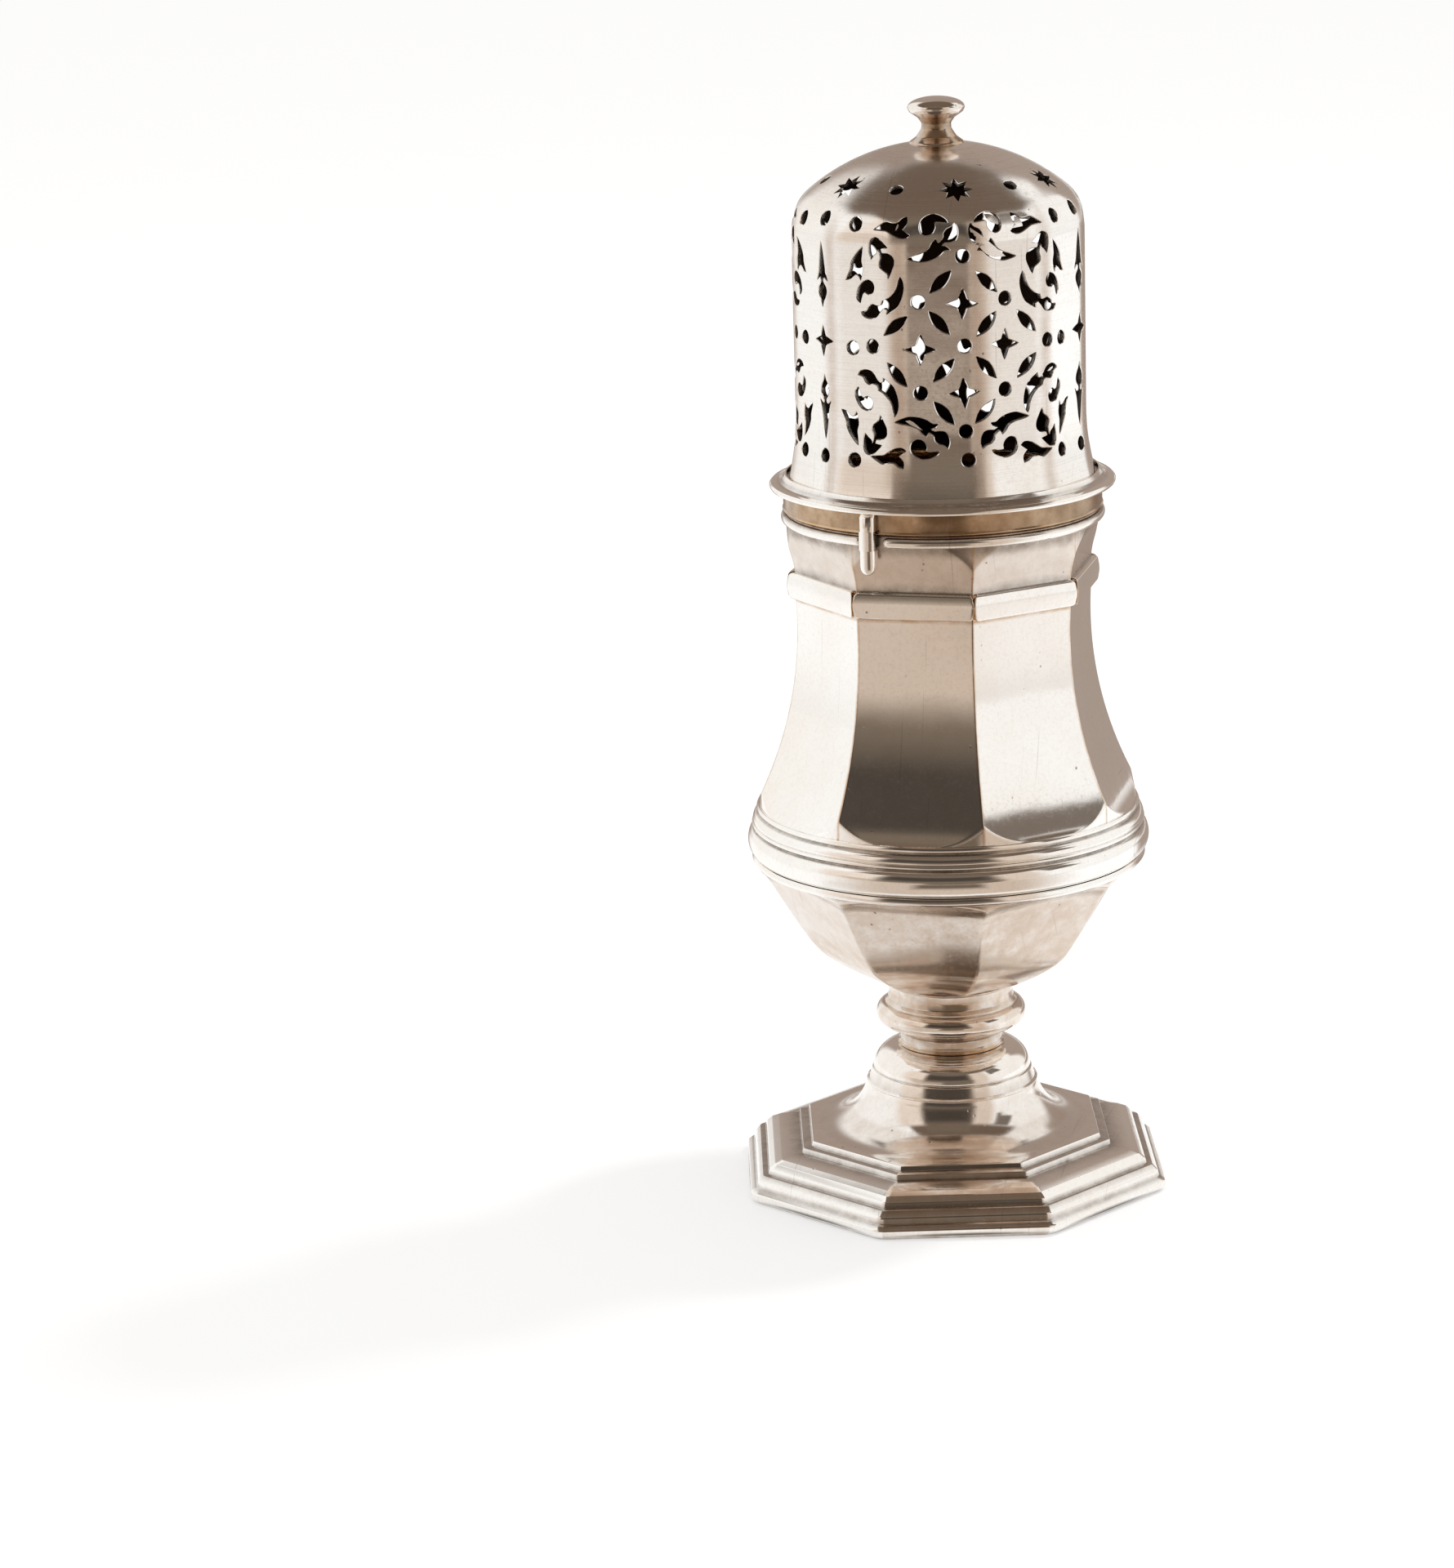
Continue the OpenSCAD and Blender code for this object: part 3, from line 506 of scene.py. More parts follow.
FINISHES = {
    "polished_silver": dict(shine=0.05, film=0.35, pitted=0.4),
    "brushed_silver": dict(shine=0.1, film=0.3, pitted=0.2, brushed=True),
    "cast_silver": dict(shine=0.04, film=0.25, pitted=1.0),
    "tarnished_silver": dict(shine=0.07, film=0.8, pitted=0.4, gilt=1.0),
}


def finish(slot):
    """The finish of one of the record's slots, made when it is first asked for"""
    name = "aged_" + slot
    return bpy.data.materials.get(name) or silver_finish(name, **FINISHES[slot])


# Pieces

class PieceOperator:
    """What the operators that make pieces share"""
    bl_options = {"REGISTER", "UNDO"}


class CASTER_OT_foot(PieceOperator, bpy.types.Operator):
    """Cast octagonal foot with its steps, round sweep, collar and shoulder"""
    bl_idname = "caster.foot"
    bl_label = "Foot"

    def execute(self, context):
        steps = soften([
            (36.4, 0.9, 0), (36.2, 0.0, 0.15), (37.3, 0.0, 0.35), (38.2, 0.95, 0.7), (38.15, 1.95, 0.5),
            (37.35, 2.5, 0.12), (36.95, 2.7, 0.2), (36.75, 3.85, 0.9), (35.75, 4.9, 0.25), (34.75, 5.05, 0.1),
            (34.5, 5.95, 0.6), (33.5, 6.8, 0.7), (32.2, 7.35, 0.8), (30.5, 7.8, 1.2), (28.35, 8.05, 0.1),
            (28.2, 8.95, 0.18), (26.6, 9.15, 0.1), (26.35, 9.95, 0.16), (25.6, 10.0, 0)])
        round_part = soften(
            arc(25.6, 20.0, 10.0, 10.0, 268, 192, 20)
            + [(15.72, 18.1, 0.1), (15.85, 18.35, 0.12), (15.3, 18.65, 0.1), (14.75, 20.45, 0.2),
               (14.3, 20.7, 0.1), (14.55, 20.95, 0)]
            + arc(9.4, 20.95, 5.1, 4.2, 4, 86, 14)
            + [(9.4, 25.15, 0), (0.0, 25.2, 0)])
        hollow = [(0.0, 19.0), (12.0, 19.0), (13.9, 17.5), (14.0, 12.0), (16.5, 8.4),
                  (24.5, 8.2), (26.4, 7.2), (32.8, 3.4), (36.2, 1.6)]
        theta = octagon_angles(FOOT_TURN)
        outline = [*steps, *round_part, *hollow]
        rings = []
        for k, (flat_r, z) in enumerate(outline):
            if k < len(steps):
                corner = np.interp(z, [0, 2.5, 5.0, 10.0], [4.0, 3.0, 1.6, 0.8])
                radius = octagon(theta, flat_r, corner, FOOT_TURN)
            elif k < len(steps) + len(round_part) or flat_r < 16.6:
                radius = np.full_like(theta, flat_r)
            else:
                radius = octagon(theta, flat_r, 1.0, FOOT_TURN)
            rings.append(around(theta, radius, z))
        piece = shell("caster_foot", rings, marks=worn_marks(outline))

        def in_front(angle):
            return abs(angle - FOOT_TURN) < HALF_SIDE - math.radians(1)

        # Darker along the bottom edge all round, painted contact shadow on the front flat, and dirt in the steps'
        # grooves
        deepen(piece, "groove", lambda angle, z: max(
            0.9 * bump_at(z, 0.0, 0.5), 0.95 * in_front(angle) * bump_at(z, 0.2, 0.7),
            0.7 * max(bump_at(z, step, 0.3) for step in (2.6, 5.0, 8.05, 9.1))))
        deepen(piece, "film", lambda angle, z: 0.35 * (9.95 < z < 13))
        # Gold tone on the sweep and shoulder; below them a painted gold reflection on the front flat only
        deepen(piece, "seam", lambda angle, z: 0.14 if z > 11 else 0.24 * in_front(angle))
        settle(piece, "vase", "cast_silver", "foot")
        return {"FINISHED"}


class CASTER_OT_stem_knop(PieceOperator, bpy.types.Operator):
    """Turned stem with its solder ring, knop and pitted seat"""
    bl_idname = "caster.stem_knop"
    bl_label = "Stem and knop"

    def execute(self, context):
        corners = [(0.0, 25.2, 0), (9.6, 25.2, 0.1), (10.0, 25.55, 0.2), (9.6, 25.95, 0.1), (9.35, 26.3, 0.2),
                   (9.3, 27.7, 0.5), (10.8, 28.55, 0.3), (11.3, 29.0, 0.12)]
        corners += arc(11.55, 31.3, 2.25, 2.15, -72, 62, 18)
        corners += [(12.15, 33.3, 0.08), (12.2, 33.65, 0.12), (11.6, 34.3, 0.5), (11.35, 35.6, 1.5),
                    (11.55, 36.9, 0.4), (11.85, 37.25, 0.1), (11.4, 37.4, 0.05), (0.0, 37.4, 0)]
        piece = turned("caster_stem_knop", corners)
        deepen(piece, "groove", lambda angle, z: max(
            0.85 * bump_at(z, 27.1, 0.7), 0.5 * (z < 28.6), 0.2 * (z > 33.6)))
        deepen(piece, "seam", lambda angle, z: max(
            0.4, bump_at(z, 25.6, 0.35), 0.7 * bump_at(z, 28.2, 0.5), 0.6 * bump_at(z, 35.4, 1.0)))
        settle(piece, "vase", "cast_silver", "stem_knop")
        return {"FINISHED"}


class CASTER_OT_bowl(PieceOperator, bpy.types.Operator):
    """Octagonal bowl whose flats end in scallops under a round lip"""
    bl_idname = "caster.bowl"
    bl_label = "Bowl"

    def execute(self, context):
        shape = context.scene.caster_shape
        round_r, seat_z, lip_z = 34.75, 37.4, 61.3
        side = flowing([(11.4, seat_z), (13.1, 38.05), (16.7, 40.0), (19.75, 42.0), (22.2, 44.0), (24.0, 46.3),
                        (26.25, 50.0), (28.5, 54.0), (30.6, 57.8), (31.4, 59.0), (32.2, 59.85), (33.3, 60.65),
                        (35.2, 61.5)])
        theta = octagon_angles(0.0)

        def flat_at(z):
            return np.interp(z, side[:, 1], side[:, 0])

        stretch = octagon(theta, 1.0, 0.0)
        scallop = np.interp(round_r / stretch, side[:, 0], side[:, 1])
        spread = np.concatenate([np.linspace(0, 0.9, 46), 1 - np.geomspace(0.09, 0.004, 10), [1.0]])
        heights = [seat_z + (scallop - seat_z) * t for t in spread]
        heights += [scallop + (lip_z - scallop) * t for t in (0.1, 0.3, 0.6, 1.0)]
        rings = []
        for z in heights:
            flats = octagon(theta, flat_at(z), 1.5)
            rings.append(around(theta, soft_min(flats, round_r, shape.crease / MM), z))
        lip = soften([(round_r, lip_z, 0), (35.55, 61.2, 0.15), (36.0, 61.75, 0.35), (35.75, 62.6, 0.2),
                      (DRUM_R, 62.7, 0), (DRUM_R, SEAM_Z, 0), (33.5, SEAM_Z, 0), (33.5, 61.6, 0)])[1:]
        rings += [around(theta, r, z) for r, z in lip]
        for z in np.linspace(60.5, 38.6, 24):
            inner = np.minimum(octagon(theta, max(flat_at(z) - SHEET, 10.0), 0.6), DRUM_R - SHEET)
            rings.append(around(theta, inner, z))
        rings.append(around(theta, 0.0, 38.3))
        rings.insert(0, around(theta, 0.0, seat_z))
        marks = worn_marks([(float(np.hypot(*r[0, :2])), float(r[:, 2].mean())) for r in map(np.asarray, rings)])
        seam = np.zeros((len(rings), len(theta)))
        seam[1:1 + len(heights)] = near_arris(theta, math.radians(0.7)) * 0.35
        top = 1 + len(spread)
        seam[top - 8:top] = np.maximum(seam[top - 8:top], np.linspace(0, 0.75, 8)[:, None])
        # Gold on the lower bowl all round, a painted reflection of the gold foot and knop
        low = np.array([np.clip((50 - r[:, 2].mean()) / 7, 0, 0.4) for r in rings])
        marks["seam"] = np.maximum(seam, low[:, None])
        marks["film"] = np.where(np.arange(len(rings)) < top, 0.55, 0.0)
        piece = shell("caster_bowl", rings, marks=marks)
        # Painted gold reflection on the flats facing the front, heaviest 25 degrees to the right
        deepen(piece, "seam", lambda angle, z: 0.33 * max(math.cos(angle - math.radians(25)), 0) * (z < 61))
        settle(piece, "vase", "polished_silver", "bowl")
        return {"FINISHED"}


class CASTER_OT_girdle(PieceOperator, bpy.types.Operator):
    """Round girdle of bead, reed, ovolo and ledge"""
    bl_idname = "caster.girdle"
    bl_label = "Girdle moulding"

    def execute(self, context):
        corners = [(DRUM_R, 62.75, 0), (35.55, 62.75, 0.1)]
        corners += arc(35.25, 65.2, 1.42, 2.35, -78, 80, 22)
        corners += [(35.35, 67.75, 0.1)]
        corners += arc(35.5, 68.3, 0.4, 0.36, -60, 65, 8)
        corners += [(35.45, 68.75, 0.06)]
        corners += arc(34.35, 68.75, 1.4, 1.75, 8, 66, 10)
        corners += [(34.6, 70.55, 0.12), (34.75, 70.8, 0.1), (35.0, 71.25, 0.3), (34.75, 71.75, 0.2),
                    (DRUM_R, 71.85, 0)]
        piece = turned("caster_girdle_moulding", corners, 256)
        settle(piece, "vase", "polished_silver", "girdle_moulding")
        return {"FINISHED"}


class CASTER_OT_upper_body(PieceOperator, bpy.types.Operator):
    """Octagonal baluster body with its scalloped foot, waist and flared neck"""
    bl_idname = "caster.upper_body"
    bl_label = "Upper body"

    @staticmethod
    def flat_at(z):
        """Half width across flats at a height"""
        flare_r, waist_r, waist_z, fillet_z = 74.0, 25.0, 106.0, 71.2
        below = waist_r + flare_r - np.sqrt(flare_r ** 2 - (z - waist_z) ** 2) + np.exp(fillet_z - z)
        return np.where(z < STRIP_TOP_Z, below, np.interp(z, *NECK_FLARE))

    @staticmethod
    def round_at(z):
        """Radius of the round work that the flats run into: the drum below, the mouth above"""
        return np.where(z < 100, DRUM_R, MOUTH_R)

    def execute(self, context):
        shape = context.scene.caster_shape
        theta = octagon_angles(0.0)
        stretch = octagon(theta, 1.0, 0.0)
        low = np.linspace(90, 70.5, 400)
        foot = np.interp(DRUM_R / stretch, self.flat_at(low), low)
        high = np.linspace(STRIP_TOP_Z, RIM_Z, 300)
        brow = np.interp(MOUTH_R / stretch, self.flat_at(high), high)
        near = np.concatenate([[0.0], np.geomspace(0.006, 1.0, 26)])
        heights = [SEAM_Z + (foot - SEAM_Z) * t for t in (0.0, 0.6, 0.9, 0.97)]
        heights += [foot + (84.0 - foot) * t for t in near]
        heights += [np.full_like(theta, z) for z in np.linspace(84.8, STRIP_TOP_Z, 44)]
        heights += [STRIP_TOP_Z + (brow - STRIP_TOP_Z) * (1 - t) for t in near[::-1]]
        heights += [brow + (RIM_Z - 0.25 - brow) * t for t in (0.05, 0.3, 0.7, 1.0)]
        arris = near_arris(theta, math.radians(0.75))
        rings, seams = [], []
        for z in heights:
            flats = octagon(theta, self.flat_at(z), shape.arris / MM)
            rings.append(around(theta, soft_min(flats, self.round_at(z), shape.crease / MM), z))
            below_strip = np.exp(-((z - STRIP_LOW_Z + 0.15) / 0.25) ** 2)
            seams.append(np.maximum(arris * 0.8, below_strip))
        for r, z in ((MOUTH_R - 0.25, RIM_Z), (MOUTH_R - SHEET + 0.2, RIM_Z), (MOUTH_R - SHEET, RIM_Z - 0.2)):
            rings.append(around(theta, r, z))
        for z in heights[::-1][4::4]:
            inner = np.minimum(octagon(theta, self.flat_at(z), 0.6), self.round_at(z)) - SHEET
            rings.append(around(theta, inner, z))
        seam = np.zeros((len(rings), len(theta)))
        seam[:len(seams)] = seams
        lining = np.zeros(len(rings))
        lining[len(seams) + 3:] = 0.5
        height = np.asarray(rings)[:, :, 2]
        film = np.clip((height - STRIP_TOP_Z + 0.5) / 1.0, 0, 1) * 0.75
        above_strip = np.exp(-((height - STRIP_TOP_Z - 0.2) / 0.4) ** 2)
        # Painted shadow under the rim wire at the top of the neck, and dirt along the top of the strips
        groove = np.maximum(np.clip((height - 121.9) / 1.8, 0, 0.9), above_strip)
        marks = {"seam": seam, "lining": lining, "film": film, "groove": groove}
        piece = shell("caster_upper_body", rings, marks=marks)
        settle(piece, "vase", "polished_silver", "upper_body")
        return {"FINISHED"}


NECK_FLARE = tuple(flowing([
    (STRIP_TOP_Z, 25.17), (117.3, 25.42), (119.0, 25.82), (121.0, 26.42), (123.0, 27.15), (124.5, 27.75),
    (126.4, 28.6)]).T)


class CASTER_OT_neck_strips(PieceOperator, bpy.types.Operator):
    """Eight flat strips round the neck, mitred at the arrises"""
    bl_idname = "caster.neck_strips"
    bl_label = "Neck strips"

    def execute(self, context):
        section = np.asarray(soften([
            (STRIP_IN_R, 112.0, 0), (STRIP_IN_R, STRIP_LOW_Z, 0.05), (STRIP_OUT_R - 0.05, STRIP_LOW_Z, 1.1),
            (STRIP_OUT_R + 0.3, 113.2, 5.0), (STRIP_OUT_R - 0.05, STRIP_TOP_Z, 1.1),
            (STRIP_IN_R, STRIP_TOP_Z, 0.05), (STRIP_IN_R, 114.0, 0)], 6))
        middle = section.mean(0)
        from_edge = np.minimum(section[:, 1] - STRIP_LOW_Z, STRIP_TOP_Z - section[:, 1])
        corner = 0.6 * np.clip(1 - from_edge / 1.0, 0, 1) ** 2
        end = ((0, 0.0), (0.7, 0.0), (0.88, 0.04), (0.96, 0.13), (1.0, 0.3), (1.0, 0.6), (1.0, 1.6))
        for k in range(SIDES):
            turn = k * 2 * HALF_SIDE
            outward = np.array([math.sin(turn), -math.cos(turn), 0])
            along = np.array([math.cos(turn), math.sin(turn), 0])
            rings, seam = [], []
            for sign, shares in ((-1, end), (1, end[::-1])):
                for size, inset in shares:
                    cut = middle + (section - middle) * size
                    reach = section[:, 0] * math.tan(HALF_SIDE) - 0.04 - inset - corner
                    rings.append(cut[:, :1] * outward + sign * reach[:, None] * along + cut[:, 1:] * [0, 0, 1])
                    low_edge = np.clip(1 - (cut[:, 1] - STRIP_LOW_Z) / 0.3, 0, 1)
                    seam.append(np.maximum(low_edge, 1.0 if inset < 0.2 else 0.0))
            piece = shell(f"caster_neck_strip_{k + 1}", rings, shut=False, marks={"seam": np.asarray(seam)})
            settle(piece, "vase", "polished_silver", f"neck_strip_{k + 1}")
        return {"FINISHED"}


class CASTER_OT_rim_wires(PieceOperator, bpy.types.Operator):
    """Two lengths of rim wire with rounded ends at the bayonet notches"""
    bl_idname = "caster.rim_wires"
    bl_label = "Rim wires"

    def execute(self, context):
        span = math.pi - NOTCH_LEAD - NOTCH_TAIL
        around_wire = even_angles(24)
        # Painted shade along the top of the wire, where it meets the band's bead
        groove = np.clip((np.sin(around_wire) - 0.35) / 0.4, 0, 1)
        end = np.array([0.0, 0.002, 0.006, 0.012, 0.02])
        along = np.concatenate([end, np.linspace(0.03, 0.97, 130), 1 - end[::-1]])
        marks = {"groove": np.tile(groove, (len(along), 1))}
        for k in range(2):
            start = LUG_ANGLE + NOTCH_TAIL + k * math.pi
            rings = []
            for t in along:
                from_end = min(t, 1 - t) * span * WIRE_RING_R
                size = math.sqrt(max(0.0, 1 - max(0.0, 1 - from_end / 0.7) ** 2))
                r = np.maximum(WIRE_RING_R + WIRE_R * size * np.cos(around_wire), MOUTH_R - 0.35)
                z = WIRE_Z + WIRE_R * size * np.sin(around_wire)
                rings.append(around(start + span * t, r, z))
            piece = shell(f"caster_rim_wire_{k + 1}", rings, shut=False, marks=marks)
            settle(piece, "vase", "polished_silver", f"rim_wire_{k + 1}")
        return {"FINISHED"}


class CASTER_OT_cover_sleeve(PieceOperator, bpy.types.Operator):
    """Sleeve of the cover that enters the mouth"""
    bl_idname = "caster.cover_sleeve"
    bl_label = "Cover sleeve"

    def execute(self, context):
        corners = [(24.1, 127.0, 0), (24.1, 122.6, 0.2), (24.7, 122.6, 0.3), (25.0, 123.4, 0.4), (25.0, 132.0, 0.1),
                   (24.1, 132.0, 0.1), (24.1, 128.0, 0)]
        piece = turned("caster_cover_sleeve", corners)
        settle(piece, "sleeve", "tarnished_silver", "cover_sleeve")
        return {"FINISHED"}


class CASTER_OT_cover_band(PieceOperator, bpy.types.Operator):
    """Plain band of the cover with a small bead at its foot"""
    bl_idname = "caster.cover_band"
    bl_label = "Cover band"

    def execute(self, context):
        corners = [(27.8, 128.0, 0), (27.8, 126.5, 0.1), (28.65, 126.5, 0.1), (28.9, 126.75, 0.12),
                   (28.65, 127.1, 0.08), (28.7, 127.4, 0.1), (28.7, FLANGE_Z, 0.05), (27.8, FLANGE_Z, 0.05),
                   (27.8, 129.0, 0)]
        piece = turned("caster_cover_band", corners)
        lugs = (LUG_ANGLE + math.radians(5), LUG_ANGLE + math.radians(185))
        # Painted shadow: a dark line at the bead's foot above the wire, a dark line under the flange, and a dark
        # strip just right of each lug
        deepen(piece, "groove", lambda angle, z: max(
            bump_at(z, 127.25, 0.3), 0.7 * bump_at(z, FLANGE_Z, 0.6),
            max(bump_at((angle - lug + math.pi) % (2 * math.pi) - math.pi, 0, 0.1) for lug in lugs)))
        settle(piece, "cover", "tarnished_silver", "cover_band")
        return {"FINISHED"}


class CASTER_OT_cover_flange(PieceOperator, bpy.types.Operator):
    """Moulded flange with a rounded lip and a hollow rise to the wall"""
    bl_idname = "caster.cover_flange"
    bl_label = "Cover flange"

    def execute(self, context):
        corners = [(25.06, 131.2, 0), (25.06, 130.42, 0.05), (30.0, 130.42, 0.2), (30.95, 130.55, 0.25),
                   (31.2, 131.05, 0.28), (30.8, 131.5, 0.25), (30.1, 131.6, 0.4), (29.4, 131.8, 0.6),
                   (28.75, 132.25, 0.6), (28.3, 133.0, 0.15), (28.02, 133.0, 0.05), (28.02, 132.0, 0.05),
                   (25.06, 132.0, 0.05), (25.06, 131.6, 0)]
        piece = turned("caster_cover_flange", corners, 256)
        settle(piece, "cover", "polished_silver", "cover_flange")
        return {"FINISHED"}


class CASTER_OT_finial(PieceOperator, bpy.types.Operator):
    """Turned button finial with its peg"""
    bl_idname = "caster.finial"
    bl_label = "Finial"

    def execute(self, context):
        corners = [(0.0, 190.2, 0), (PEG_R, 190.2, 0.1), (PEG_R, 191.5, 0), (4.75, 191.45, 0.1), (4.9, 191.65, 0.1),
                   (4.7, 191.95, 0.15), (3.6, 192.75, 0.9), (2.65, 194.2, 0.9), (2.6, 195.1, 0.7), (3.3, 196.1, 0.7),
                   (4.75, 197.1, 0.5)]
        corners += arc(0.0, 197.9, 5.08, 1.9, -6, 90, 20)
        piece = turned("caster_finial", corners, 128)
        deepen(piece, "groove", lambda angle, z: min(max((196.4 - z) / 0.9, 0.0), 0.45))
        deepen(piece, "lining", lambda angle, z: 0.25 * max(bump_at(z, 194.8, 1.0), bump_at(z, 192.4, 0.5)))
        deepen(piece, "seam", lambda angle, z: 0.75 if z < 196.6 else 0.15)
        deepen(piece, "film", lambda angle, z: 0.1)
        settle(piece, "cover", "cast_silver", "finial")
        return {"FINISHED"}


class CASTER_OT_bayonet_lugs(PieceOperator, bpy.types.Operator):
    """Two lugs, each a strap with a nose that hooks under the rim wire"""
    bl_idname = "caster.bayonet_lugs"
    bl_label = "Bayonet lugs"

    def execute(self, context):
        half_w, in_r, out_r, wire_r, nose_r = 1.45, 28.72, 30.77, 29.47, 28.62
        top_z, band_z, hook_z, tip_z = 130.38, 127.25, 123.85, 121.0
        rows = [(top_z, in_r, 29.9, 0.0), (top_z, in_r, 29.9, 1.0), (130.2, in_r, 30.3, 1.0),
                (129.7, in_r, out_r, 1.0), (band_z, in_r, out_r, 1.0), (band_z, wire_r, out_r, 1.0),
                (hook_z, wire_r, out_r, 1.0), (hook_z, nose_r, out_r, 1.0), (tip_z, nose_r, out_r, 1.0)]
        for a in np.radians([20, 40, 55, 68, 78, 86, 90]):
            size = math.cos(a)
            rows.append((tip_z - 1.65 * math.sin(a), 29.7 - 1.08 * size, 29.7 + 1.07 * size, size))
        inner = np.linspace(-1, 1, 7)[:, None] * [1, 0]
        bend = np.radians(np.linspace(0, 180, 15))
        outer = np.column_stack([np.cos(bend), 0.4 + 0.6 * np.sin(bend)])
        section = np.vstack([inner, outer])
        for k in range(2):
            turn = LUG_ANGLE + k * math.pi
            rings = []
            for z, low_r, high_r, size in rows:
                r = low_r + (high_r - low_r) * section[:, 1]
                across = section[:, 0] * half_w * size
                rings.append(around(turn, r, z) + across[:, None] * [math.cos(turn), math.sin(turn), 0])
            piece = shell(f"caster_bayonet_lug_{k + 1}", rings, shut=False)
            piece.data.set_sharp_from_angle(angle=math.radians(50))
            settle(piece, "cover", "polished_silver", f"bayonet_lug_{k + 1}")
        return {"FINISHED"}


# Pierced cover

def round_motif(count, *spokes):
    """A motif that repeats round its middle; spokes are (radius, degrees on, sharp)"""
    return [(r * math.cos(math.radians(a + on)), r * math.sin(math.radians(a + on)), sharp)
            for a in range(0, 360, 360 // count) for r, on, sharp in spokes]


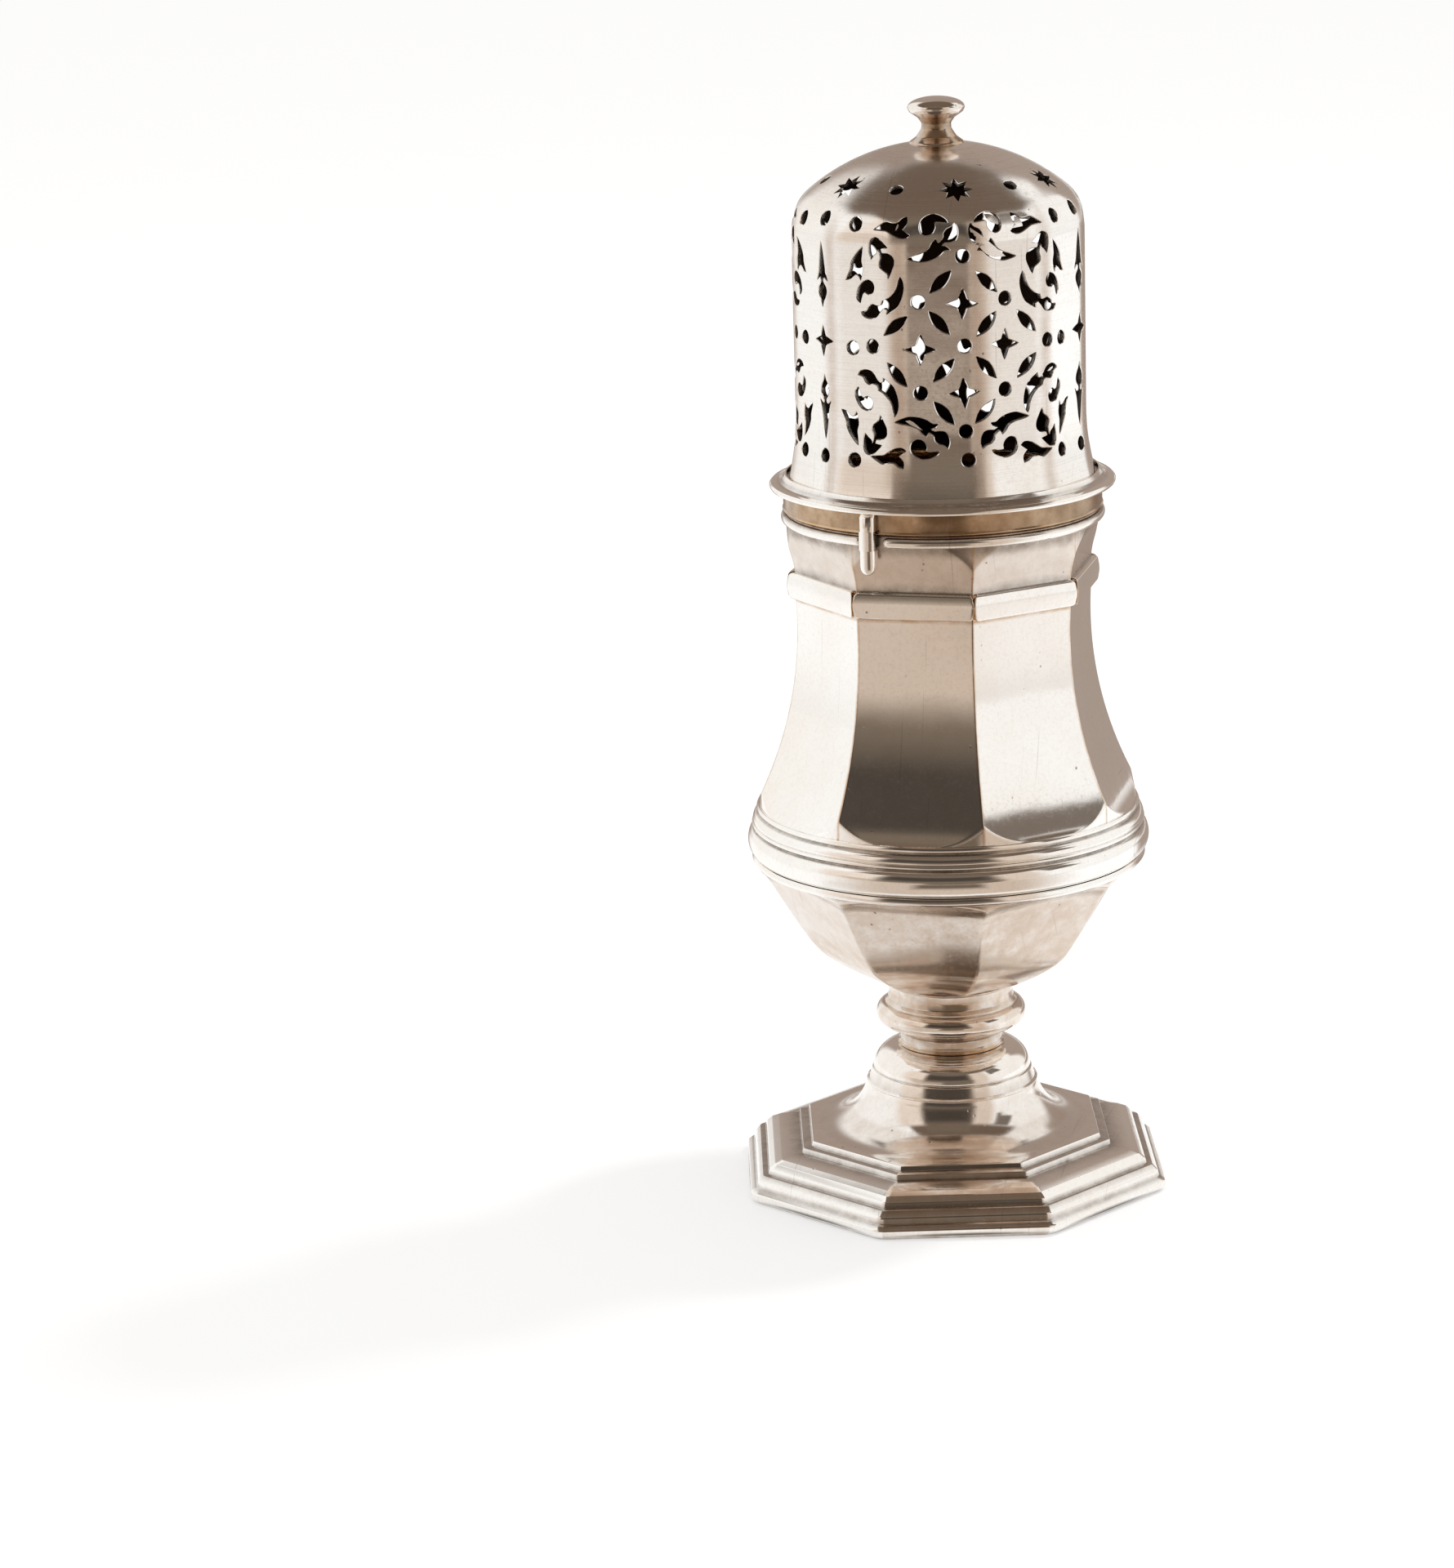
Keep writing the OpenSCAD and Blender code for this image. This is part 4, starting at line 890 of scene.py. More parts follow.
HALF_LEAF = [(0, 2.8, 1), (-0.62, 1.5, 0), (-0.95, 0.1, 0), (-0.7, -1.4, 0)]
HALF_SPEAR = [(0.5, 15.6, 0), (0.85, 13.4, 0), (1.1, 12.1, 0), (1.7, 10.6, 1), (0.75, 11.25, 0), (0.36, 10.9, 0),
              (0.45, 10.3, 0), (1.15, 9.5, 0), (1.28, 8.7, 0), (0.9, 7.75, 0), (0.35, 7.0, 0)]
MOTIFS = {
    "hole": round_motif(12, (1.25, 0, 0)),
    "star": round_motif(4, (2.75, 0, 1), (1.55, 20, 0), (1.12, 45, 0), (1.55, 70, 0)),
    "leaf": HALF_LEAF + [(-x, -y, sharp) for x, y, sharp in HALF_LEAF],
    "spear": [(0, 17.5, 1), *HALF_SPEAR, (0, 6.0, 1), *((-x, y, sharp) for x, y, sharp in HALF_SPEAR[::-1])],
    "fishtail": [(-16.1, 20.2, 1), (-15.0, 20.9, 0), (-13.8, 21.5, 0), (-12.7, 21.3, 0), (-11.6, 21.35, 0),
                 (-10.9, 21.95, 0), (-9.9, 22.35, 1), (-9.85, 21.2, 0), (-10.65, 20.15, 1), (-9.3, 19.25, 1),
                 (-10.0, 18.75, 0), (-11.2, 18.8, 0), (-12.4, 19.35, 0), (-13.6, 20.0, 0), (-14.7, 20.1, 0)],
    "arch": [(-16.65, 15.0, 1), (-17.0, 16.5, 0), (-16.9, 17.9, 0), (-16.4, 18.65, 0), (-15.6, 18.8, 0),
             (-14.8, 18.45, 0), (-14.0, 17.75, 0), (-13.25, 17.05, 1), (-14.1, 16.95, 0), (-14.6, 16.8, 1),
             (-14.4, 16.1, 0), (-13.2, 16.0, 0), (-12.3, 15.3, 0), (-12.2, 14.2, 0), (-12.7, 13.0, 0),
             (-13.4, 11.7, 1), (-13.75, 12.7, 0), (-14.4, 13.2, 0), (-15.0, 13.7, 0), (-15.1, 14.4, 0),
             (-14.8, 15.2, 0), (-14.95, 16.2, 0), (-15.2, 16.75, 1), (-15.45, 16.2, 0), (-16.1, 15.7, 0)],
    "husk": [(-18.35, 17.2, 1), (-19.3, 16.3, 0), (-20.2, 15.1, 0), (-20.7, 14.0, 0), (-20.85, 12.9, 0),
             (-21.7, 11.1, 1), (-20.8, 11.35, 0), (-20.0, 12.0, 0), (-19.5, 12.2, 0), (-19.1, 12.0, 0),
             (-18.65, 11.25, 1), (-18.4, 12.4, 0), (-18.3, 13.4, 0), (-18.6, 14.6, 0), (-18.5, 15.9, 0)],
    "comma": [(-17.4, 11.15, 0), (-18.6, 10.8, 0), (-19.45, 9.8, 0), (-19.9, 8.6, 0), (-19.8, 7.7, 0),
              (-19.2, 7.1, 1), (-18.9, 8.1, 0), (-18.6, 8.8, 0), (-18.1, 9.0, 0), (-17.5, 8.65, 0), (-16.6, 9.0, 0),
              (-16.25, 9.9, 0), (-16.6, 10.8, 0)],
    "spray": [(-18.9, 5.65, 1), (-17.8, 5.9, 0), (-17.3, 6.65, 0), (-16.5, 7.1, 0), (-15.7, 6.85, 0),
              (-14.95, 7.0, 0), (-14.6, 7.8, 1), (-13.5, 8.25, 0), (-12.45, 9.2, 0), (-11.8, 10.3, 0),
              (-11.5, 11.4, 0), (-11.15, 12.15, 1), (-10.7, 11.3, 0), (-10.55, 10.0, 0), (-10.9, 8.4, 0),
              (-11.6, 7.0, 0), (-12.6, 6.2, 0), (-13.75, 5.55, 1), (-13.75, 6.3, 0), (-14.3, 6.5, 0), (-15.0, 5.9, 0),
              (-15.8, 4.95, 0), (-16.8, 4.6, 0), (-17.9, 4.7, 0), (-18.6, 5.1, 0)],
    "crook": [(-7.6, 20.7, 0), (-7.25, 21.8, 0), (-6.2, 22.5, 0), (-4.9, 22.72, 0), (-3.6, 22.35, 0),
              (-2.75, 21.8, 0), (-2.45, 21.3, 1), (-3.2, 21.35, 0), (-4.2, 21.45, 0), (-4.85, 21.3, 0),
              (-4.75, 20.6, 0), (-5.1, 19.8, 0), (-5.8, 19.3, 0), (-6.6, 19.25, 0), (-7.3, 19.7, 0)],
    "sprig": [(-1.45, 21.2, 1), (-2.1, 20.55, 0), (-2.95, 20.15, 0), (-3.5, 19.4, 0), (-3.5, 18.7, 0),
              (-4.05, 18.1, 0), (-4.5, 17.85, 0), (-4.95, 18.5, 1), (-5.6, 17.8, 0), (-6.2, 16.75, 0),
              (-7.4, 16.05, 0), (-8.7, 15.65, 0), (-10.0, 15.1, 1), (-8.8, 14.75, 0), (-7.3, 14.55, 0),
              (-5.6, 14.95, 0), (-4.3, 15.65, 0), (-3.4, 16.45, 0), (-2.4, 16.6, 1), (-3.1, 17.2, 0), (-3.9, 17.3, 0),
              (-3.3, 17.85, 0), (-2.2, 17.95, 0), (-1.4, 18.3, 0), (-1.0, 19.2, 0), (-1.0, 20.3, 0)],
    "dome_star": [(y, x, sharp) for x, y, sharp in round_motif(8, (3.1, 0, 1), (1.6, 22.5, 1))],
    "dome_hole": round_motif(12, (1.2, 0, 0)),
}

LATTICE = [
    ("hole", 0, -0.2, 0), ("hole", 0, 15.35, 0), ("hole", 0, -15.2, 0), ("hole", 0.2, -20.35, 0),
    ("hole", -7.75, 7.6, 0), ("hole", 7.75, 7.6, 0), ("hole", -7.5, -8.3, 0), ("hole", 7.6, -8.2, 0),
    ("star", 0, 7.3, 0), ("star", 0.1, -8.4, 4), ("star", -7.75, -0.5, 0), ("star", 7.75, -0.1, -3),
    ("leaf", -3.9, 11.1, -45), ("leaf", 3.95, 11.1, 45), ("leaf", -12.05, 3.55, -50), ("leaf", -4.25, 3.9, 42),
    ("leaf", 4.1, 3.6, -44), ("leaf", 12.0, 3.7, 44), ("leaf", -11.7, -4.6, 42), ("leaf", -3.8, -4.3, -42),
    ("leaf", 4.1, -4.2, 43), ("leaf", 12.0, -4.4, -44), ("leaf", -3.8, -11.9, 41), ("leaf", 3.8, -11.8, -43),
    ("hole", -20.8, -0.6, 0), ("hole", -16.6, -0.1, 0), ("hole", 20.8, -0.6, 0), ("hole", 16.6, -0.1, 0)]
UPPER_SCROLLS = [("hole", -20.0, 20.8, 0), ("fishtail", 0, 0, 0), ("arch", 0, 0, 0), ("husk", 0, 0, 0),
                 ("comma", 0, 0, 0), ("spray", 0, 0, 0), ("crook", 0, 0, 0), ("sprig", 0, 0, 0)]
LOWER_SCROLLS = [("hole", -20.5, -20.5, 0), ("fishtail", -1.2, 0.7, 3), ("arch", -1.7, -0.6, 0),
                 ("husk", -1.5, -0.7, 0), ("comma", -0.5, -0.3, 0), ("spray", -0.9, -0.2, -3),
                 ("crook", -2.2, 2.6, 0), ("sprig", -2.1, 2.6, 9)]


def cover_outline():
    """Round outline of the cover, from the foot of its wall to the peg"""
    flare = [(WALL_R + WALL_FLARE_R - math.sqrt(WALL_FLARE_R ** 2 - h ** 2), FLARE_TOP_Z - h)
             for h in np.linspace(FLARE_TOP_Z - WALL_Z, 0, 30)]
    wall = [(WALL_R, z) for z in np.linspace(FLARE_TOP_Z, SHOULDER_Z, 50)[1:]]
    rise = math.atan2(SHOULDER_Z - CROWN_Z, WALL_R - SHOULDER_R)
    shoulder = [(WALL_R - SHOULDER_R + SHOULDER_R * math.cos(a), SHOULDER_Z + SHOULDER_R * math.sin(a))
                for a in np.linspace(0, rise, 20)[1:]]
    crown = [(CROWN_R * math.cos(a), CROWN_Z + CROWN_R * math.sin(a))
             for a in np.linspace(rise, math.acos(PEG_R / CROWN_R), 36)[1:]]
    return np.asarray(flare + wall + shoulder + crown)


def off_facet(theta):
    """Angle from the middle of the nearest facet of the cover"""
    return (theta - FACET_OFFSET + FACET_STEP / 2) % FACET_STEP - FACET_STEP / 2


def facet_fade(z):
    """How clearly the facets show at a height: fully on the wall, not at all on the dome"""
    return np.clip((FACET_END_Z - z) / DOME_FADE, 0, 1)


def cover_ring(theta, r, z):
    """One ring of the cover's outside, with its twelve soft facets"""
    flat = (r - WALL_SOFT * facet_fade(z)) / np.cos(off_facet(theta))
    return around(theta, soft_min(flat, r, 0.07), z)


def flat_outline(corners):
    """A closed outline through its points, sharp at those marked 1, drawn counter-clockwise"""
    p = np.asarray([c[:2] for c in corners], float)
    sharp = [c[2] for c in corners]
    count = len(p)
    out = []
    for i in range(count):
        a, b = p[i], p[(i + 1) % count]
        leave = b - a if sharp[i] else (b - p[i - 1]) / 2
        arrive = b - a if sharp[(i + 1) % count] else (p[(i + 2) % count] - a) / 2
        steps = max(2, int(np.hypot(*(b - a)) / 0.3))
        out += [span_at(t, a, b, leave, arrive) for t in np.linspace(0, 1, steps, endpoint=False)]
    out = np.asarray(out)
    return out if turning(out) > 0 else out[::-1]


def motif_cutter(name, corners, mirrored, rim):
    """A saw cut of one motif, in flat millimetres, with a bevel at its outer end"""
    middle = np.mean([c[:2] for c in corners], 0)
    outline = flat_outline([((x - middle[0]) * (-1 if mirrored else 1), y - middle[1], s) for x, y, s in corners])
    ahead = np.roll(outline, -1, 0) - outline
    ahead /= np.linalg.norm(ahead, axis=1)[:, None]
    mean = ahead + np.roll(ahead, 1, 0)
    mean /= np.maximum(np.linalg.norm(mean, axis=1), 0.5)[:, None]
    outward = np.stack([mean[:, 1], -mean[:, 0]], -1)
    levels = ((-3.4, 0.0), (-rim, 0.0), (1.5 * rim, 2.5 * rim))
    count = len(outline)
    verts = np.vstack([np.column_stack([outline + outward * grow, np.full(count, depth)]) for depth, grow in levels])
    faces = [list(range(count))[::-1], list(range(2 * count, 3 * count))]
    for level in range(2):
        for i in range(count):
            a, b = level * count + i, level * count + (i + 1) % count
            faces.append([a, b, b + count, a + count])
    mesh = new_mesh(name, (verts * MM).tolist(), faces)
    mesh.attributes.new("cut", "FLOAT", "FACE").data.foreach_set("value", np.ones(len(faces), np.float32))
    return bpy.data.objects.new(name, mesh), middle


def pattern_points(name, rows):
    """Points that carry a motif's number and its turn; rows are (x, y, z, motif, turn vector)"""
    mesh = new_mesh(name, [tuple(v * MM for v in row[:3]) for row in rows], [])
    mesh.attributes.new("motif", "INT", "POINT").data.foreach_set("value", [row[3] for row in rows])
    facing = np.asarray([row[4] for row in rows], np.float32)
    mesh.attributes.new("facing", "FLOAT_VECTOR", "POINT").data.foreach_set("vector", facing.ravel())
    return bpy.data.objects.new(name, mesh)


def piercing_tree():
    """Rolls the flat pattern of saw cuts round the cover, adds the dome's ring and cuts them out of the wall"""
    tree = bpy.data.node_groups.new("Piercing", "GeometryNodeTree")
    for label, kind in (("Wall", "Geometry"), ("Skin", "Object"), ("Wall pattern", "Object"),
                        ("Dome pattern", "Object"), ("Motifs", "Collection"), ("Roll radius", "Float"),
                        ("Pattern height", "Float"), ("Pattern angle", "Float"), ("Finish", "Material")):
        tree.interface.new_socket(label, in_out="INPUT", socket_type="NodeSocket" + kind)
    tree.interface.new_socket("Cover", in_out="OUTPUT", socket_type="NodeSocketGeometry")
    n = Nodes(tree)
    given = n.add("NodeGroupInput").outputs
    skin = n.add("GeometryNodeObjectInfo", {"Object": given["Skin"]}).outputs["Geometry"]
    motifs = n.add("GeometryNodeCollectionInfo", {"Collection": given["Motifs"], "Separate Children": True,
                                                  "Reset Children": True}).outputs[0]
    motif = n.add("GeometryNodeInputNamedAttribute", {"Name": "motif"}, data_type="INT").outputs[0]
    facing = n.add("GeometryNodeInputNamedAttribute", {"Name": "facing"}, data_type="FLOAT_VECTOR").outputs[0]
    cuts = []
    for label in ("Wall pattern", "Dome pattern"):
        points = n.add("GeometryNodeObjectInfo", {"Object": given[label]}).outputs["Geometry"]
        placed = n.add("GeometryNodeInstanceOnPoints", {
            "Points": points, "Instance": motifs, "Pick Instance": True, "Instance Index": motif, "Rotation": facing})
        cuts.append(n.add("GeometryNodeRealizeInstances", {"Geometry": placed.outputs[0]}).outputs[0])
    flat = n.add("ShaderNodeSeparateXYZ", {0: n.add("GeometryNodeInputPosition").outputs[0]}).outputs
    angle = n.plus(n.math("DIVIDE", flat[0], given["Roll radius"]), given["Pattern angle"])
    ray = n.add("ShaderNodeCombineXYZ", {
        0: n.math("SINE", angle), 1: n.times(n.math("COSINE", angle), -1.0)}).outputs[0]
    axis = n.add("ShaderNodeCombineXYZ", {2: n.plus(flat[1], given["Pattern height"])}).outputs[0]
    hit = n.add("GeometryNodeRaycast", {
        "Target Geometry": skin, "Source Position": axis, "Ray Direction": ray}).outputs["Hit Position"]
    sunk = n.add("ShaderNodeVectorMath", {0: ray, "Scale": flat[2]}, operation="SCALE").outputs[0]
    rolled = n.add("ShaderNodeVectorMath", {0: hit, 1: sunk}, operation="ADD").outputs[0]
    wall_cuts = n.add("GeometryNodeSetPosition", {"Geometry": cuts[0], "Position": rolled}).outputs[0]
    pierced = n.add("GeometryNodeMeshBoolean", {"Mesh 1": given["Wall"]}, operation="DIFFERENCE", solver="MANIFOLD")
    for cut in (wall_cuts, cuts[1]):
        tree.links.new(cut, pierced.inputs["Mesh 2"])
    whole = n.add("GeometryNodeRealizeInstances", {"Geometry": pierced.outputs[0]}).outputs[0]
    dressed = n.add("GeometryNodeSetMaterial", {"Geometry": whole, "Material": given["Finish"]}).outputs[0]
    n.add("NodeGroupOutput", {0: dressed})
    return tree


class CASTER_OT_pierced_cover(PieceOperator, bpy.types.Operator):
    """Domed cover with soft facets, pierced by hand with lattice, scrolls, spears and stars"""
    bl_idname = "caster.pierced_cover"
    bl_label = "Pierced cover"

    def execute(self, context):
        shape = context.scene.caster_shape
        outline = cover_outline()
        theta = even_angles(264)
        lean_z, lean_rise = 178.0, 12.0
        outside = [cover_ring(theta, r, z) for r, z in outline]
        skin = shell("cover_skin", outside, shut=False)
        inside = []
        for ring in outside[::-3]:
            size = np.hypot(ring[:, 0], ring[:, 1])
            lean = np.clip((ring[0, 2] - lean_z) / lean_rise, 0, 1)
            shrink = np.maximum(size - SHEET * (1 - 0.75 * lean), PEG_R) / np.maximum(size, 1e-6)
            inside.append(np.column_stack([ring[:, 0] * shrink, ring[:, 1] * shrink, ring[:, 2] - SHEET * lean]))
        inside.append(np.column_stack([outside[0][:, :2] * (1 - SHEET / 28.0), outside[0][:, 2]]))
        lining = np.concatenate([np.zeros(len(outside)), np.ones(len(inside))])
        piece = shell("caster_pierced_cover", outside + inside, marks={"lining": lining})
        motifs = bpy.data.collections.new("motifs")
        number, middles = {}, {}
        for i, motif in enumerate(sorted(MOTIFS)):
            for mirrored in (False, True):
                label = f"motif_{i:02d}_{int(mirrored)}"
                cutter, middles[motif] = motif_cutter(label, MOTIFS[motif], mirrored, shape.piercing_rim / MM)
                motifs.objects.link(cutter)
                number[motif, mirrored] = 2 * i + int(mirrored)
        wall_points = pattern_points("wall_pattern", self.wall_rows(shape, number, middles))
        dome_points = pattern_points("dome_pattern", self.dome_rows(number))
        tree = piercing_tree()
        modifier = piece.modifiers.new("Piercing", "NODES")
        modifier.node_group = tree
        values = {"Skin": skin, "Wall pattern": wall_points, "Dome pattern": dome_points, "Motifs": motifs,
                  "Roll radius": ROLL_R * MM, "Pattern height": LATTICE_Z * MM, "Pattern angle": LATTICE_ANGLE,
                  "Finish": finish("brushed_silver")}
        for item in tree.interface.items_tree:
            if item.in_out == "INPUT" and item.name in values:
                modifier[item.identifier] = values[item.name]
        pierced = bpy.data.meshes.new_from_object(piece.evaluated_get(context.evaluated_depsgraph_get()))
        if len(pierced.polygons) <= len(piece.data.polygons):
            raise RuntimeError("the piercing left the cover whole")
        piece.modifiers.clear()
        piece.data = pierced
        pierced.name = piece.name
        self.mark_depth(pierced, outline)
        pierced.shade_smooth()
        pierced.set_sharp_from_angle(angle=math.radians(28))
        for helper in (skin, wall_points, dome_points, *motifs.objects):
            bpy.data.objects.remove(helper)
        bpy.data.collections.remove(motifs)
        settle(piece, "cover", "brushed_silver", "pierced_cover")
        return {"FINISHED"}

    @staticmethod
    def mark_depth(mesh, outline):
        """Marks the dark inside, by how deep a point lies under the outside: tarnished inside, and painted shade down
        the walls of the piercings. Marks the film on the dome, with painted shade on its left side, and painted shade
        along the facet arrises
        """
        points = np.empty(len(mesh.vertices) * 3, np.float32)
        mesh.vertices.foreach_get("co", points)
        x, y, z = points.reshape(-1, 3).T / MM
        angle = np.arctan2(x, -y)
        off = off_facet(angle)
        flat = (WALL_R - WALL_SOFT * facet_fade(z)) / np.cos(off)
        radius = np.hypot(x, y) + np.maximum(WALL_R - flat, 0)
        fine = flowing(outline, 5)
        depth = np.full(len(z), 1e3)
        for part in np.array_split(np.arange(len(z)), 40):
            gap = np.hypot(radius[part, None] - fine[None, :, 0], z[part, None] - fine[None, :, 1])
            depth[part] = gap.min(1)
        # Film on the dome, partly a tarnished film and partly painted shade: heaviest on the left side, away from the
        # lamp, and gone on the right; it turns with the piece
        dome_film_and_shade = np.clip((z - DOME_FILM_Z) / DOME_FADE, 0, 1) * 0.28 * (1 - np.sin(angle - DOME_SHADE_SIDE))
        # Painted shade along the cover's facet arrises, standing in for the facets' shading
        arris = np.exp(-((FACET_STEP / 2 - np.abs(off)) / ARRIS_SHADE) ** 2)
        set_mark(mesh, "lining", np.clip((depth - 0.3) / 0.35, 0, 1))
        set_mark(mesh, "film", np.maximum(dome_film_and_shade, 0.9 * arris * facet_fade(z)))

    @staticmethod
    def wall_rows(shape, number, middles):
        """Places of every motif on the flat pattern, three times round"""
        stray = np.random.default_rng(shape.hand_seed)
        third = ROLL_R * 2 * math.pi / 3
        rows = []

        def put(motif, x, y, turn, mirrored):
            dx, dy = stray.normal(0, shape.hand_cut / MM, 2)
            turn = math.radians(turn + stray.normal(0, 1.2))
            rows.append((x + dx, y + dy, 0.0, number[motif, mirrored], (0.0, 0.0, turn)))

        for k in range(3):
            shift = (k - 1) * third
            for motif, x, y, turn in LATTICE:
                put(motif, shift + x, y, turn, False)
            for side in (-1, 1):
                for motif, x, y, turn in UPPER_SCROLLS:
                    if motif == "hole" and k == 2 and side == 1:
                        continue  # no light shows here through the star in front
                    if motif != "hole":
                        x, y = middles[motif]
                    put(motif, shift - side * x, y, -side * turn, side == 1)
                for motif, x, y, turn in LOWER_SCROLLS:
                    if motif != "hole":
                        x, y = x + middles[motif][0], y - middles[motif][1]
                    put(motif, shift - side * x, y, 180 - side * turn, side == -1)
            column = shift + third / 2
            put("star", column, 0.0, 0, False)
            put("hole", column, 21.3, 0, False)
            put("hole", column, -20.6, 0, False)
            put("spear", column, middles["spear"][1], 0, False)
            put("spear", column, -middles["spear"][1], 180, False)
        return rows

    @staticmethod
    def dome_rows(number):
        """Stars and holes in turn round the dome, square to its crown"""
        ring_r = 20.0
        ring_z = CROWN_Z + math.sqrt(CROWN_R ** 2 - ring_r ** 2)
        tilt = math.acos(ring_r / CROWN_R)
        rows = []
        for i in range(12):
            angle = LATTICE_ANGLE + i * math.pi / 6
            x, y, z = around(angle, ring_r, ring_z)
            facing = Matrix.Rotation(angle, 4, "Z") @ Matrix.Rotation(math.pi / 2 - tilt, 4, "X")
            motif = "dome_star" if i % 2 == 0 else "dome_hole"
            rows.append((x, y, z, number[motif, False], tuple(facing.to_euler())))
        return rows


# Stage

class CASTER_OT_stage(bpy.types.Operator):
    """Pale floor, studio light and the camera"""
    bl_idname = "caster.stage"
    bl_label = "Stage"

    def execute(self, context):
        studio = context.scene.caster_studio
        context.scene.view_settings.view_transform = "Standard"
        self.floor(studio)
        self.world(context.scene, studio)
        self.lamp(studio)
        self.flag("back_wall", (134, 206), (-2, 52), (12, 8), studio.back, 8.9)
        self.flag("left_drape", (-86, -22), (-2, 60), (18, 4), studio.left_drape, 8.8)
        self.flag("right_drape", (12, 62), (-2, 60), (14, 4), studio.right_drape, 8.7)
        self.flag("right_gap", (58, 87), (23.5, 48), (6, 2.5), studio.gap, 8.6)
        self.flag("ceiling", (-180, 180), (43, 90), (1, 8), studio.ceiling, 8.5)
        self.flag("lamp_window", (128, 154), (34, 52), (7, 4), studio.room, 8.4)
        self.flag("left_light", (-142, -58), (44, 67), (10, 4), studio.room, 0.3)
        self.flag("right_light", (90, 140), (38, 66), (8, 5), studio.room, 0.3)
        self.flag("low_light", (62, 100), (18, 32.5), (8, 3), studio.room, 0.3)
        self.flag("front_skirt", (-70, 44), (-4, 12), (16, 2), studio.front_floor, 8.35)
        self.flag("dark_skirt", (-19, 35), (-4, 15), (10, 2), studio.opening, 8.32)
        self.flag("opening", (-48, 35), (-1.5, 68), (12, 11), studio.opening, 8.3)
        self.flag("opening_depth", (-46, 31), (9, 48), (14, 13), studio.depth, 8.2)
        self.apron("back_apron", (124, 212), (0.10, 6.0), 14, 0.15, studio.back, 0.0003)
        self.apron("front_apron", (-84, 84), (0.043, 6.0), 52, 0.03, studio.front_floor, 0.0004)
        self.apron("front_shade", (-23, 23), (0.11, 0.95), 9, 0.12, studio.shade, 0.0006)
        # Painted contact shadow: a dark ring on the floor round the foot, seen only in the metal
        self.apron("contact", (-180, 180), (0.036, 0.0408), 1, 0.0012, studio.depth, 0.0007)
        # Painted shade on the floor far in front, seen only in the metal
        self.apron("far_mat", (-20, 22), (0.85, 6.0), 10, 0.25, studio.ceiling, 0.0005)
        self.camera(context.scene)
        return {"FINISHED"}

    @staticmethod
    def reflected_only(obj):
        """Keeps a staged card out of sight: only polished metal sees it"""
        obj.visible_camera = False
        obj.visible_diffuse = False
        obj.visible_shadow = False

    @staticmethod
    def soft_card(name, colour):
        """A lit card that fades out where its mark named soft goes to nothing"""
        material, n = new_material(name)
        fade = n.add("ShaderNodeMapRange", {"Value": n.mark("soft")}, interpolation_type="SMOOTHSTEP").outputs[0]
        card = n.add("ShaderNodeEmission", {"Color": (*colour, 1.0)}).outputs[0]
        clear = n.add("ShaderNodeBsdfTransparent").outputs[0]
        mixed = n.add("ShaderNodeMixShader", {0: fade, 1: clear, 2: card}).outputs[0]
        n.add("ShaderNodeOutputMaterial", {"Surface": mixed})
        return material

    def flag(self, name, sides, rise, soft, colour, radius):
        """A soft edged card on a great sphere, from degrees to the camera's right and degrees up"""
        across = np.linspace(*sides, max(16, int((sides[1] - sides[0]) / 2.5)))
        up = np.linspace(*rise, max(12, int((rise[1] - rise[0]) / 2)))
        side, tall = np.meshgrid(across, up)
        edge = (tall - rise[0]) / soft[1]
        if rise[1] < 90:
            edge = np.minimum(edge, (rise[1] - tall) / soft[1])
        level = np.radians(tall)
        self.card(name, side, radius * np.cos(level), radius * np.sin(level), edge, soft[0], colour)

    def apron(self, name, sides, reach, soft_side, soft_reach, colour, z):
        """A soft edged cloth on the floor that runs outwards from near the caster"""
        side, away = np.meshgrid(np.linspace(*sides, 61), np.geomspace(*reach, 60))
        edge = (away - reach[0]) / soft_reach
        if reach[1] < 1:
            edge = np.minimum(edge, (reach[1] - away) / (3 * soft_reach))
        self.card(name, side, away, z, edge, soft_side, colour)

    def card(self, name, side, away, z, edge, soft_side, colour):
        """A card at degrees to the camera's right, a distance and a height, soft at its ends unless it is a ring"""
        left, right = side.min(), side.max()
        if right - left < 360:
            edge = np.minimum(edge, np.minimum(side - left, right - side) / soft_side)
        points = around(np.radians(side) + CAMERA_SIDE, away, z)
        rows, cols, _ = points.shape
        faces = [(r * cols + c, r * cols + c + 1, (r + 1) * cols + c + 1, (r + 1) * cols + c)
                 for r in range(rows - 1) for c in range(cols - 1)]
        mesh = new_mesh(name, points.reshape(-1, 3).tolist(), faces)
        set_mark(mesh, "soft", np.clip(edge, 0, 1))
        mesh.materials.append(self.soft_card(name, colour))
        self.reflected_only(link(bpy.data.objects.new(name, mesh)))

    @staticmethod
    def floor(studio):
        """White to the camera and to the metal, and still shaded a little by the caster"""
        size = 6.0
        corners = [(-size, -size, 0), (size, -size, 0), (size, size, 0), (-size, size, 0)]
        mesh = new_mesh("floor", corners, [(0, 1, 2, 3)])
        floor = link(bpy.data.objects.new("floor", mesh))
        material, n = new_material("pale floor")
        path = n.add("ShaderNodeLightPath").outputs
        seen = n.math("MAXIMUM", path["Is Camera Ray"], path["Is Glossy Ray"])
        seen = n.math("MAXIMUM", seen, path["Is Transmission Ray"])
        matt = n.add("ShaderNodeBsdfDiffuse", {"Color": (*studio.floor, 1.0)}).outputs[0]
        white = n.add("ShaderNodeEmission", {"Color": (*studio.floor, 1.0)}).outputs[0]
        mixed = n.add("ShaderNodeMixShader", {0: n.times(seen, 0.5), 1: matt, 2: white}).outputs[0]
        n.add("ShaderNodeOutputMaterial", {"Surface": mixed})
        mesh.materials.append(material)

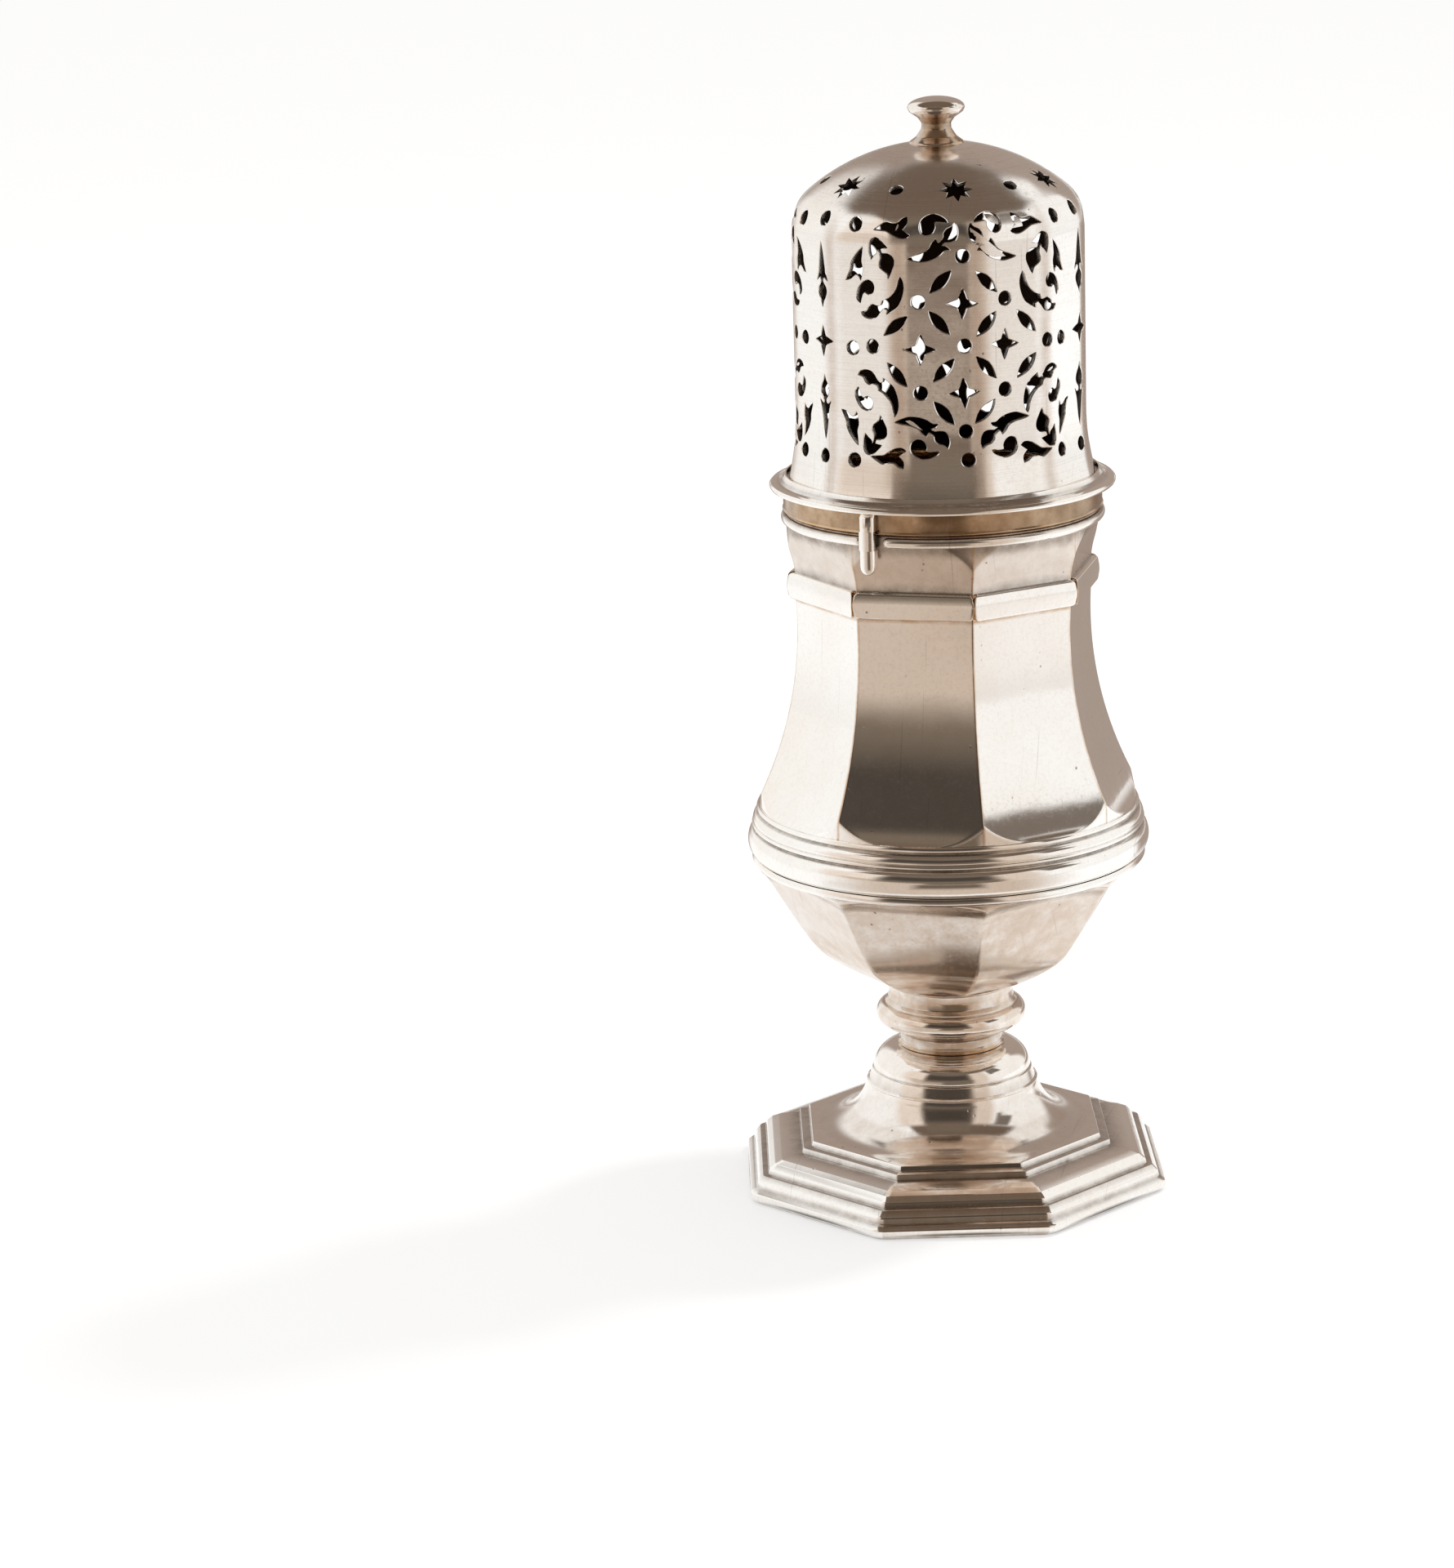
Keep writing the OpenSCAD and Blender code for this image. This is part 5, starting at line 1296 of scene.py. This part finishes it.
    @staticmethod
    def world(scene, studio):
        """White room all round"""
        world = bpy.data.worlds.new("studio")
        scene.world = world
        world.use_nodes = True
        n = Nodes(world.node_tree)
        room = n.add("ShaderNodeBackground", {"Color": (*studio.room, 1.0), "Strength": 1.0})
        n.add("ShaderNodeOutputWorld", {"Surface": room.outputs[0]})

    @staticmethod
    def lamp(studio):
        """Soft lamp behind on the right that casts the shadow to the left"""
        data = bpy.data.lights.new("key", "AREA")
        data.energy = studio.key
        data.size = 0.16
        key = link(bpy.data.objects.new("key", data))
        key.location = around(math.radians(123) + CAMERA_SIDE, 0.79, 1.09)
        key.rotation_euler = (Vector((0, 0, 0.1)) - key.location).to_track_quat("-Z", "Y").to_euler()
        key.visible_glossy = False

    @staticmethod
    def camera(scene):
        """Camera at the photographed angle, from its distance, height, turn, tilt and roll"""
        distance, height = 0.84598, 0.29752
        yaw, pitch, roll = math.radians(-2.7288), math.radians(14.7193), math.radians(-1.6503)
        forward = Vector((math.sin(yaw) * math.cos(pitch), math.cos(yaw) * math.cos(pitch), -math.sin(pitch)))
        right = Vector((math.cos(yaw), -math.sin(yaw), 0.0))
        up = right.cross(forward)
        tilted = math.cos(roll) * right + math.sin(roll) * up
        up = -math.sin(roll) * right + math.cos(roll) * up
        turn = Matrix.Rotation(CAMERA_SIDE, 3, "Z")
        pose = Matrix((turn @ tilted, turn @ up, turn @ -forward)).transposed().to_4x4()
        pose.translation = turn @ Vector((0, -distance, height))
        data = bpy.data.cameras.new("camera")
        data.sensor_fit = "VERTICAL"
        data.sensor_height = 36.0
        data.lens = 109.68
        camera = link(bpy.data.objects.new("camera", data))
        camera.matrix_world = pose
        scene.camera = camera


class CASTER_PT_panel(bpy.types.Panel):
    """Lists the pieces and the settings"""
    bl_idname = "CASTER_PT_panel"
    bl_label = "Sugar caster"
    bl_space_type = "VIEW_3D"
    bl_region_type = "UI"
    bl_category = "Caster"

    def draw(self, context):
        for group in SETTINGS:
            settings = getattr(context.scene, group)
            for prop in settings.__annotations__:
                self.layout.prop(settings, prop)
        for operator in OPERATORS:
            self.layout.operator(operator.bl_idname)


SETTINGS = {"caster_shape": CasterShape, "caster_finish": CasterFinish, "caster_studio": CasterStudio}
OPERATORS = (
    CASTER_OT_foot, CASTER_OT_stem_knop, CASTER_OT_bowl, CASTER_OT_girdle, CASTER_OT_upper_body,
    CASTER_OT_neck_strips, CASTER_OT_rim_wires, CASTER_OT_cover_sleeve, CASTER_OT_cover_band,
    CASTER_OT_cover_flange, CASTER_OT_pierced_cover, CASTER_OT_finial, CASTER_OT_bayonet_lugs, CASTER_OT_stage)
CLASSES = (*SETTINGS.values(), *OPERATORS, CASTER_PT_panel)


def register():
    for cls in CLASSES:
        bpy.utils.register_class(cls)
    for name, group in SETTINGS.items():
        setattr(bpy.types.Scene, name, PointerProperty(type=group))


def unregister():
    for name in SETTINGS:
        delattr(bpy.types.Scene, name)
    for cls in reversed(CLASSES):
        bpy.utils.unregister_class(cls)


def main():
    register()
    for operator in OPERATORS:
        group, name = operator.bl_idname.split(".")
        getattr(getattr(bpy.ops, group), name)()


if __name__ == "__main__":
    main()
